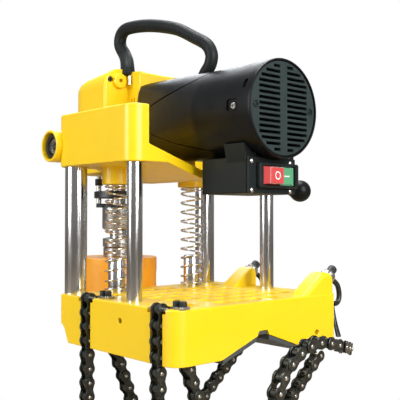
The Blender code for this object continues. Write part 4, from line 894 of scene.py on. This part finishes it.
def build_bracket():
    block = layered(corner_outline,
                    ((HEAD_LOW, 1.6), (HEAD_LOW + 0.5, 0.5), (HEAD_LOW + 1.6, 0), (HEAD_HIGH - 3, 0),
                     (HEAD_HIGH - 1.4, 0.45), (HEAD_HIGH - 0.45, 1.4), (HEAD_HIGH, 3)))
    trough = [(-118, 304.9), (-83, 304.9), (-27, 286), (27, 286), (83, 304.9), (118, 304.9),
              (118, 331), (114, 328), (25, 298), (-25, 298), (-114, 328), (-118, 331)]
    strap = rounded(prism(trough, RACK_X - 20, GUIDE_X + 17, "X"), 1.6, 3)
    pockets = []
    for side, _ in SIDES:
        outline = [(side * 36, 296.5), (side * 84, 312), (side * 110, 312), (side * 110, 345),
                   (side * 36, 345)]
        pockets.append(prism(outline, RACK_X + 24, GUIDE_X + 10, "X"))
    steps = [cut(box(RACK_X + 3, GUIDE_X + 10, -COLUMN_Y - 13, COLUMN_Y + 13, HEAD_LOW + 7,
                                HEAD_HIGH + 5)),
             cut(box(-155, 45, -103, 103, HEAD_LOW - 5, HEAD_HIGH + 6)),
             cut(box(0, 45, -117.5, 117.5, HEAD_LOW - 5, HEAD_HIGH + 6)),
             add(strap), cut(joined(pockets))]
    for side, _ in SIDES:
        for radius, x in ((RACK_SLEEVE - 0.5, RACK_X), (GUIDE_SLEEVE - 0.5, GUIDE_X)):
            sleeve = turned([(0, HEAD_LOW - 0.4), (radius - 0.8, HEAD_LOW - 0.4), (radius, HEAD_LOW + 0.4),
                             (radius, HEAD_HIGH - 1), (radius - 0.6, HEAD_HIGH - 0.4), (0, HEAD_HIGH - 0.4)],
                            (x, side * COLUMN_Y, 0), segments=64)
            steps.append(add(sleeve))
        lug_body = turned([(0, 280), (20.8, 280), (21.6, 280.4), (22, 281.2), (22, 314), (0, 314)],
                          (SPRING_X, side * SPRING_Y, 0), segments=64)
        steps.append(add(lug_body))
        y0, y1 = side * 100, side * 157
        boss = turned([(0, y0), (23.5, y0), (23.5, y1 - side * 2.4), (23, y1 - side),
                       (22.2, y1 - side * 0.3), (21.4, y1), (0, y1)], (PINION_X, 0, PINION_Z), "Y", 72)
        steps.append(add(boss))
    steps += [add(prism(pot_outline(front=-136), 302, DOME_SPLIT - 0.3)),
              add(rounded(box(-166, -138, -112, 112, 318, DOME_SPLIT - 0.35), 2, 3)),
              add(rounded(box(-140, -20, -13, 13, 300, 350), 2, 3)),
              cut(motor_loft(MOTOR_FRONT - 1, 200, 0.35)),
              cut(prism(pot_outline(6, -168), 308, DOME_SPLIT + 5)),
              add(rod(26, 300, 375, (SPINDLE_X, 0, 0), segments=56))]
    cross = turned([(0, -170), (21, -170), (20.4, -157), (19.6, -156), (19.6, -144), (14.9, -144),
                    (14.9, -113), (7.5, -113), (7.5, 113), (14.9, 113), (14.9, 144), (19.6, 144),
                    (19.6, 170), (0, 170)], (PINION_X, 0, PINION_Z), "Y", 56)
    bores = [turned([(0, 295), (20, 295), (20, 314), (16, 315), (16, 360), (20, 361),
                     (20, 380), (0, 380)], (SPINDLE_X, 0, 0), segments=48)]
    for side, _ in SIDES:
        bores.append(rod(18.6, 270, 390, (RACK_X, side * COLUMN_Y, 0), segments=56))
        bores.append(rod(13.6, 270, 390, (GUIDE_X, side * COLUMN_Y, 0), segments=56))
    steps += [cut(cross), cut(joined(bores))]
    piece("bracket_casting", carved(block, *steps), YELLOW, stands_for="head_bracket", weighted=True)


def crowned(x, z):
    return z - 8 * min(max((-160 - x) / 60, 0), 1) * max(z - 425, 0) / (DOME_TOP - 425)


def dome_rings(inset, low, drop, front, steps=12):
    rings = []
    levels = [(low, 0)] + [(DOME_TOP - 30 + 30 * math.sin(a), 25 * (1 - math.cos(a)))
                             for a in (math.radians(90 * k / steps) for k in range(steps + 1))]
    for z, roll in levels:
        shift = inset + roll
        radius = max(50 - shift, 12)
        outline = rounded_rectangle(DOME_BACK + shift, front, -DOME_HALF + shift, DOME_HALF - shift,
                                    [4, radius, radius, 4], 12)
        rings.append([(u, v, crowned(u, z) - (drop if z > 425 else 0)) for u, v in outline])
    return rings


def build_cover():
    dome = rounded(skin(dome_rings(0, DOME_SPLIT, 0, DOME_FRONT)), 2.6, 4, 60,
                   lambda point: point.x > DOME_FRONT - 1)
    neck = prism([(DOME_SPLIT + 0.1, -153), (DOME_SPLIT + 0.1, MOTOR_FRONT - 0.3), (461, MOTOR_FRONT - 0.3),
                  (463.2, -153)], -17, 17, "Y")
    ridge = skin([[(x, -half, low), (x, half, low), (x, half, high - 4), (x, half - 1.2, high - 1.6),
                   (x, half - 3.6, high - 0.3), (x, half - 6, high), (x, 6 - half, high),
                   (x, 3.6 - half, high - 0.3), (x, 1.2 - half, high - 1.6), (x, -half, high - 4)]
                  for x, half, low, high in ((MOTOR_FRONT - 6, 16, 424, 461.5), (-48, 8, 430, 441.5))])
    boss = turned([(0, DOME_FRONT - 4), (11.8, DOME_FRONT - 4), (11.8, DOME_FRONT + 5),
                   (11.2, DOME_FRONT + 6.4), (10, DOME_FRONT + 7), (0, DOME_FRONT + 7)],
                  (0, -35, 446.5), "X", 56)
    holes = [rod(7, -160, -105, (0, 0, COUNTER_Z), "X"),
             rod(4.8, DOME_FRONT - 3, DOME_FRONT + 12, (0, -50.5, 448), "X"),
             rod(3.2, DOME_FRONT - 4, DOME_FRONT + 12, (0, -35, 446.5), "X")]
    slits = [box(-140 + 6.5 * k, -137.6 + 6.5 * k, y, y + 6, 408, 420) for y in (-20, 14) for k in range(2)]
    cover = carved(dome, add(rounded(neck, 2, 3)), add(ridge), add(boss),
                   cut(motor_loft(MOTOR_FRONT - 0.3, 200, 0.35)),
                   cut(skin(dome_rings(6, DOME_SPLIT - 5, 6, -156))),
                   cut(joined(holes)), cut(joined(slits)))
    piece("cover_casting", cover, YELLOW, stands_for="gearbox_cover", weighted=True)
    piece("cover_screw", moved(screw_head(3.9, 3, 2), facing((-152.8, -50.5, 448))), DARK, body="head",
          slot="dark_steel")
    pin = turned([(0, 441), (2.4, 441), (2.4, 455), (1.8, 456), (0, 456)], (-140, -20.5, 0),
                 segments=28)
    piece("handle_pin", pin, CHROME, body="head", slot="bright_steel")


# ---------------------------------------------------------------- motor

def above_seam(lift):
    outline = [(x, z + lift) for x, z in smooth_seam()]
    outline = [(MOTOR_FRONT - 12, outline[0][1] - 1)] + outline + [(SEAM[-1][0], 470),
                                                                      (MOTOR_FRONT - 12, 470)]
    return prism([(z, x) for x, z in outline], -80, 80, "Y")


def smooth_seam():
    return [(point.x, point.z) for point in smooth_path([(x, 0, z) for x, z in SEAM], 6)]


def motor_shell():
    rings = []
    for x, grow in ((MOTOR_FRONT, -3), (MOTOR_FRONT + 0.4, -1.6), (MOTOR_FRONT + 1.4, -0.5),
                    (MOTOR_FRONT + 3, 0)):
        rings.append(motor_section(x, grow))
    rings += [motor_section(x) for x in range(-108, 161, 6)]
    for x, grow in ((163, 0), (165, -0.35), (165.8, -0.9), (166, -1.5), (166, -2.2), (165.4, -2.8),
                    (164.2, -3), (157.4, -3.2), (157, -4)):
        rings.append(motor_section(x, grow))
    rings += [motor_section(x, -4) for x in (140, 100, 60, 30, 0, -30, -60, -90, -113)]
    return skin(rings)


# Wells in the motor's side: x, tilt from the side in degrees, half length along X, half width, depth.
WELLS = ((136.5, 0, 9.4, 7.5, 3), (136.5, -66, 9.4, 7.5, 3), (155, 23.3, 3.2, 6.5, 2.4))
GRILLE_BACK, GRILLE_FACE, GRILLE_SCREW_Y = 152, 164.6, 51.6
SLOT_PITCH, SLOT_COUNT, SLOT_HALF, RIB_HALF, SLOT_REACH = 7.1, 16, 2, 6.6, 45.5


def build_motor():
    recesses, screws = [], []
    for side in (-1, 1):
        for x, tilt, along, across, deep in WELLS:
            angle = math.radians(tilt)
            spot = (x, side * MOTOR_R * math.cos(angle), MOTOR_Z + MOTOR_R * math.sin(angle))
            out = Vector((0, side * math.cos(angle), math.sin(angle)))
            forward = Vector((1, 0, 0))
            turn = Matrix.Translation(spot) @ Matrix((forward, out.cross(forward), out)).transposed().to_4x4()
            well = prism(rounded_rectangle(-along, along, -across, across, [3.1] * 4, 8), -deep, 8)
            recesses.append(moved(well, turn @ Matrix.Translation((-1.6, -side * 1.6, 0))))
            if along > across:
                screws.append(moved(screw_head(4.3, 2.4, 1.8), turn @ Matrix.Translation((0, 0, 0.1 - deep))))
    line = [(point.x, point.z) for point in smooth_path([(x, 0, z) for x, z in LOW_SEAM], 6)]
    groove = prism([(z, x) for x, z in line] + [(z + 1.1, x) for x, z in reversed(line)], -80, 80, "Y")
    cuts = [cut(joined(recesses)), cut(groove),
            cut(rod(7, MOTOR_FRONT - 3, MOTOR_FRONT + 8, (0, 0, COUNTER_Z), "X"))]
    for name, node, step in (("motor_body_shell", "motor_housing", cut(above_seam(-1.1))),
                             ("motor_top_shell", "motor_front_cover", ("INTERSECT", above_seam(1)))):
        shell_cuts = cuts if step[0] == "DIFFERENCE" else []
        piece(name, carved(motor_shell(), *shell_cuts, step), BLACK, stands_for=node, weighted=True)
    piece("housing_screws", joined(screws), STEEL, body="head")
    inner = MOTOR_R - 4.9
    grille = turned([(0, GRILLE_BACK), (inner, GRILLE_BACK), (inner, 158), (inner + 1.3, 158.3),
                     (inner + 1.3, GRILLE_FACE - 1), (inner + 0.5, GRILLE_FACE), (0, GRILLE_FACE)],
                    (0, 0, MOTOR_Z), "X", 96)
    slots = []
    for k in range(SLOT_COUNT):
        z = MOTOR_Z + SLOT_PITCH * (k - (SLOT_COUNT - 1) / 2)
        end = min(math.sqrt((inner - 1.4) ** 2 - (abs(z - MOTOR_Z) + SLOT_HALF) ** 2), SLOT_REACH)
        for side in (-1, 1):
            slots.append(prism([(side * RIB_HALF, z - SLOT_HALF), (side * end, z - SLOT_HALF),
                                (side * end, z + SLOT_HALF), (side * RIB_HALF, z + SLOT_HALF)],
                               GRILLE_BACK - 2, 167, "X"))
    lugs = [rod(5, GRILLE_FACE - 1.4, 167, (0, side * GRILLE_SCREW_Y, MOTOR_Z), "X", 28) for side in (-1, 1)]
    piece("rear_grille", carved(grille, cut(joined(slots)), cut(joined(lugs))), GRILLE,
          stands_for="vent_grille", weighted=True)
    heads = [moved(screw_head(3.4, 1.6, 1.4), facing((GRILLE_FACE - 1.3, side * GRILLE_SCREW_Y, MOTOR_Z)))
             for side in (-1, 1)]
    piece("grille_screws", joined(heads), DARK, body="head")


HANDLE = ((-173, 464), (-172, 482), (-181, 498), (-194, 516), (-193, 531), (-181, 540),
          (-156, 540), (-120, 535), (-82, 526), (-45, 514), (-10, 496), (18, 480),
          (28.5, 464), (26, 450), (17, 440), (9, 430))


def build_handle():
    path = smooth_path([(-149.5, -17, 456), (-153, -15, 467), (-166, -7, 484)]
                       + [(x, 0, z) for x, z in HANDLE[2:]], 8)
    radii = [11.5 - 2.2 * min((Vector(point) - Vector(path[0])).length / 140, 1) for point in path]
    grip = carved(swept(path, radii, 40), cut(motor_loft(-60, 200, 0.35)))
    piece("handle_grip", grip, RUBBER, stands_for="carry_handle", angle=50)


# ---------------------------------------------------------------- switch box

BOX = (58, 141, 45, 262, 309)
BEZEL = (-31, 44, 269, 302)
WINDOW = (-24, 36.5, 273, 297.5)
BUTTON_SPLIT = 9.8


def build_switch():
    x0, x1, half, low, high = BOX
    saddle = prism([(-half, high - 8), (half, high - 8), (half + 5, 326), (-half - 5, 326)],
                   105, x1 - 0.05, "X")
    shell = carved(rounded(box(x0, x1, -half, half, low, high), 1.8, 4), add(rounded(saddle, 1.2, 3)),
                   cut(rod(MOTOR_R + 0.3, 0, 200, (0, 0, MOTOR_Z), "X", 160)),
                   cut(box(x0 + 5, x1 + 5, -half + 5, half - 5, low + 5, 299)))
    piece("switch_housing", shell, BOXBLACK, stands_for="switch_box", weighted=True)
    plate = rounded(box(x1 + 0.3, x1 + 4, -half, half, low, high), 1.3, 3)
    y0, y1, z0, z1 = BEZEL
    rim = layered(lambda s: rounded_rectangle(y0 + s, y1 - s, z0 + s, z1 - s, [3 - s * 0.6] * 4, 5),
                  ((x1 + 3, 0), (x1 + 10, 0.4), (x1 + 11, 0.9), (x1 + 11.5, 1.9)), "X")
    wy0, wy1, wz0, wz1 = WINDOW
    window = layered(lambda s: rounded_rectangle(wy0 - s, wy1 + s, wz0 - s, wz1 + s, [1] * 4, 3),
                     ((x1 - 5, 0), (x1 + 10.4, 0), (x1 + 12, 1.2), (x1 + 15, 1.2)), "X")
    face = carved(plate, cut(rod(MOTOR_R + 0.3, 0, 200, (0, 0, MOTOR_Z), "X", 160)),
                  add(rim), cut(window))
    piece("switch_face", face, BOXBLACK, stands_for="switch_plate", weighted=True)
    screws = [moved(turned([(0, 0), (3.3, 0), (3, 1), (2, 1.7), (0, 2)], segments=28),
                    facing((x1 + 4.02, y, z))) for y in (-38.6, 34.4) for z in (266, 303)]
    piece("face_screws", joined(screws), STEEL, body="head")
    for name, node, finish, low_y, high_y, front, draft in (
            ("stop_key", "red_button", RED, wy0 + 0.3, BUTTON_SPLIT - 0.3, x1 + 17, 1.6),
            ("start_key", "green_button", GREEN, BUTTON_SPLIT + 0.3, wy1 - 0.3, x1 + 9.5, 0.8)):
        lean = 6 if name == "stop_key" else 0

        def key_outline(inset, start=low_y + lean):
            return rounded_rectangle(start + inset, high_y - inset, wz0 + 0.3 + inset, wz1 - 0.3 - inset,
                                     [1.2] * 4, 4)

        shank = [[(x, u, v) for u, v in key_outline(0, low_y)] for x in (x1 - 14, x1 + 8)]
        cap = [[(x, u, v) for u, v in key_outline(inset)]
               for x, inset in ((front - 1.6, draft), (front - 0.5, draft + 0.35), (front, draft + 1.2))]
        piece(name, skin(shank + cap), finish, stands_for=node, weighted=True)
        middle_y, middle_z = (low_y + lean + high_y) / 2, (wz0 + wz1) / 2
        if name == "stop_key":
            loop, hole = (circle(radii, 40, (middle_y, middle_z)) for radii in ((5, 5.3), (3.7, 4.1)))
            mark = skin([[(front + lift, u, v) for u, v in ring]
                         for ring, lift in ((loop, -0.2), (loop, 0.25), (hole, 0.25), (hole, -0.2))],
                        ring_closed=True)
        else:
            mark = rounded(box(front - 0.2, front + 0.25, middle_y - 6.5, middle_y + 3.5, middle_z - 0.8,
                               middle_z + 0.8), 0.12, 1)
        piece(f"{name}_mark", mark, WHITE, body=BODY_OF[node], slot=SLOT_OF[node])
        trim = layered(key_outline, ((front - 2, draft - 0.25), (front - 1.55, draft - 0.1)), "X")
        piece(f"{name}_edge", trim, WHITE, body=BODY_OF[node], slot=SLOT_OF[node])


# ---------------------------------------------------------------- spindle and cutter

def around(count, radius_of, z_of):
    ring = []
    for i in range(count):
        angle = math.tau * i / count
        radius = radius_of(i)
        ring.append((SPINDLE_X + radius * math.cos(angle), radius * math.sin(angle), z_of(i)))
    return ring


SAW_TEETH = 28


def build_spindle():
    centre = (SPINDLE_X, 0, 0)
    profile = [(0, 211), (22.6, 211), (23.7, 211.6), (25.7, 213.4), (26.2, 214.8), (26.2, 250.6),
               (25.4, 251.7), (24, 252.2), (12, 254), (12, 392), (0, 392)]
    piece("spindle_nose", turned(profile, centre, segments=96), STEEL, stands_for="spindle")
    disc = turned([(12.3, 263), (38.8, 263), (39.6, 263.8), (39.6, 273.2), (38.8, 274), (12.3, 274)], centre,
                  segments=96, tube=True)
    pins, nuts = [], []
    for k in range(4):
        angle = math.radians(48 + 90 * k)
        spot = (SPINDLE_X + 32 * math.cos(angle), 32 * math.sin(angle), 0)
        pins.append(turned([(0, 254.2), (3.6, 254.2), (4, 254.8), (4, 298.2), (3.4, 299), (0, 299)], spot,
                           segments=28))
        nuts.append(rounded(prism(circle(6.7, 6, spot[:2]), 284, 295), 0.7, 2))
    piece("drive_disc", disc, DARK, stands_for="spindle_flange")
    piece("drive_nuts", joined(nuts), DARK, body="spindle_group", weighted=True)
    piece("drive_pins", joined(pins), STEEL, body="spindle_group")

    def notched(high, deep):
        return lambda i: high - (deep if i % 4 < 2 else 0)

    ring = skin([around(96, lambda i: 26.5, lambda i: 247.8),
                 around(96, notched(36.2, 1.4), lambda i: 247.8),
                 around(96, notched(36.2, 1.4), notched(253.8, 2.6)),
                 around(96, lambda i: 26.5, lambda i: 253.6)], ring_closed=True)
    piece("toothed_ring", ring, DARK, stands_for="serrated_ring", angle=25)
    profile = [(0, 148), (9, 148), (9, 167.3), (23.6, 167.3), (24.3, 168), (24.3, 181.4), (23.6, 182.1),
               (21.8, 182.5), (24.6, 183), (25.3, 183.8), (25.3, 196.2), (24.7, 197.2), (13.6, 199),
               (13.6, 210.7), (0, 210.7)]
    piece("arbor", turned(profile, centre, segments=96), STEEL, stands_for="arbor_collar")
    count = SAW_TEETH * 6

    def edge(radius, hook):
        return around(count, lambda i: radius, lambda i: 92 + hook * (0, 1, 2, 3.2, 4.4, 5)[i % 6])

    def flat(radius, z):
        return around(count, lambda i: radius, lambda i: z)

    cup = skin([flat(9.3, 167), flat(61.4, 167), flat(62.6, 166.6), flat(63.3, 165.8), flat(63.5, 164.6),
                flat(63.5, 108), edge(63.5, 1), edge(60.9, 1), flat(60.9, 160), flat(9.3, 160)],
               ring_closed=True)
    windows = []
    for k in range(2):
        turn = Matrix.Translation(centre) @ Matrix.Rotation(math.pi * k + 0.9, 4, "Z")
        windows.append(moved(prism(rounded_rectangle(-9, 9, 118, 146, [8.9] * 4, 8), 50, 80, "X"), turn))
    piece("hole_saw_cup", carved(cup, cut(joined(windows))), ORANGE, stands_for="hole_saw",
          weighted=True, angle=40)
    drill = []
    for k in range(61):
        tip = 1 if k < 57 else (61 - k) / 4.5
        ring = []
        for j, (c, d) in enumerate(circle(1, 24, turn=2.2 * k / 10)):
            r = (4.5 if (j % 12) > 3 or k < 8 else 2.9) * tip
            ring.append((SPINDLE_X + r * c, r * d, 147.7 - 1.12 * k))
        drill.append(ring)
    piece("centre_drill", skin(drill), STEEL, stands_for="pilot_drill", angle=35)


# ---------------------------------------------------------------- feed pinion and lever

LEVER_Y, BALL_X, BALL_Z, BALL_R, GRIP = 203, 20, 274, 17.5, 46


def build_feed():
    spot = (PINION_X, 0, PINION_Z)
    profile = [(0, -149), (10.8, -149), (11.8, -148.4), (12.1, -147.4), (12.1, -144.6),
               (7, -144.6), (7, 144.6), (19.2, 144.6), (19.2, 149.4), (18.4, 150.6), (12, 152), (8, 152),
               (8, 212), (7, 213), (0, 213)]
    socket = circle(7.2, 6, (PINION_Z, PINION_X))
    well = turned([(0, -153), (9.6, -153), (7.8, -147.6), (0, -147.6)], spot, "Y", 48)
    ring = turned([(12.4, -151), (13, -152), (17, -152), (18.8, -150.6), (19.2, -149.4),
                   (19.2, -144.8), (12.4, -144.8)], spot, "Y", 80, tube=True)
    piece("feed_end_ring", ring, DARK, body="feed")
    shaft = carved(turned(profile, spot, "Y", 80), cut(prism(socket, -160, -143, "Y")),
                   cut(well))
    teeth = []
    for side, _ in SIDES:
        outline = []
        for k in range(PINION_TEETH):
            for radius, share in ((6.6, -0.189), (10.85, -0.189), (12.8, -0.09), (12.8, 0.09),
                                  (10.85, 0.189), (6.6, 0.189)):
                angle = math.tau * (k + share) / PINION_TEETH
                outline.append((PINION_Z + radius * math.cos(angle), PINION_X + radius * math.sin(angle)))
        teeth.append(prism(outline, side * COLUMN_Y - 12, side * COLUMN_Y + 12, "Y"))
    piece("feed_shaft", joined([shaft, *teeth]), STEEL, stands_for="feed_pinion", angle=28)
    hub = turned([(8.3, LEVER_Y - 11), (14.2, LEVER_Y - 11), (15, LEVER_Y - 10.2), (15, LEVER_Y + 10.2),
                  (14.2, LEVER_Y + 11), (8.3, LEVER_Y + 11)], spot, "Y", 64, tube=True)
    start, end = Vector((PINION_X, LEVER_Y, PINION_Z)), Vector((BALL_X, LEVER_Y, BALL_Z))
    along = (end - start).normalized()
    arm = swept([start + along * t for t in (12, 20, 60, 100)] + [end - along * (GRIP + 0.3)],
                [7, 7, 6.2, 5.5, 5], 40)
    piece("feed_arm", joined([hub, arm]), DARK, stands_for="feed_lever")
    ball = [(0, -GRIP), (6.6, -GRIP), (7.4, -GRIP + 0.8), (8.6, -GRIP + 4)]
    ball += [(BALL_R * math.cos(a), BALL_R * math.sin(a))
             for a in (math.radians(5 * k) for k in range(-6, 18))]
    ball.append((0, BALL_R))
    turn = Vector((0, 0, 1)).rotation_difference(along).to_matrix().to_4x4()
    piece("lever_knob", moved(turned(ball, segments=64), Matrix.Translation(end) @ turn), BLACK,
          stands_for="lever_ball", angle=50)


# ---------------------------------------------------------------- build

def main():
    dress_cad_nodes()
    build_base()
    build_base_fittings()
    build_columns()
    build_tensioners()
    build_chains()
    build_springs()
    build_bracket()
    build_cover()
    build_motor()
    build_handle()
    build_switch()
    build_spindle()
    build_feed()
    build_stage()
    build_camera()


main()
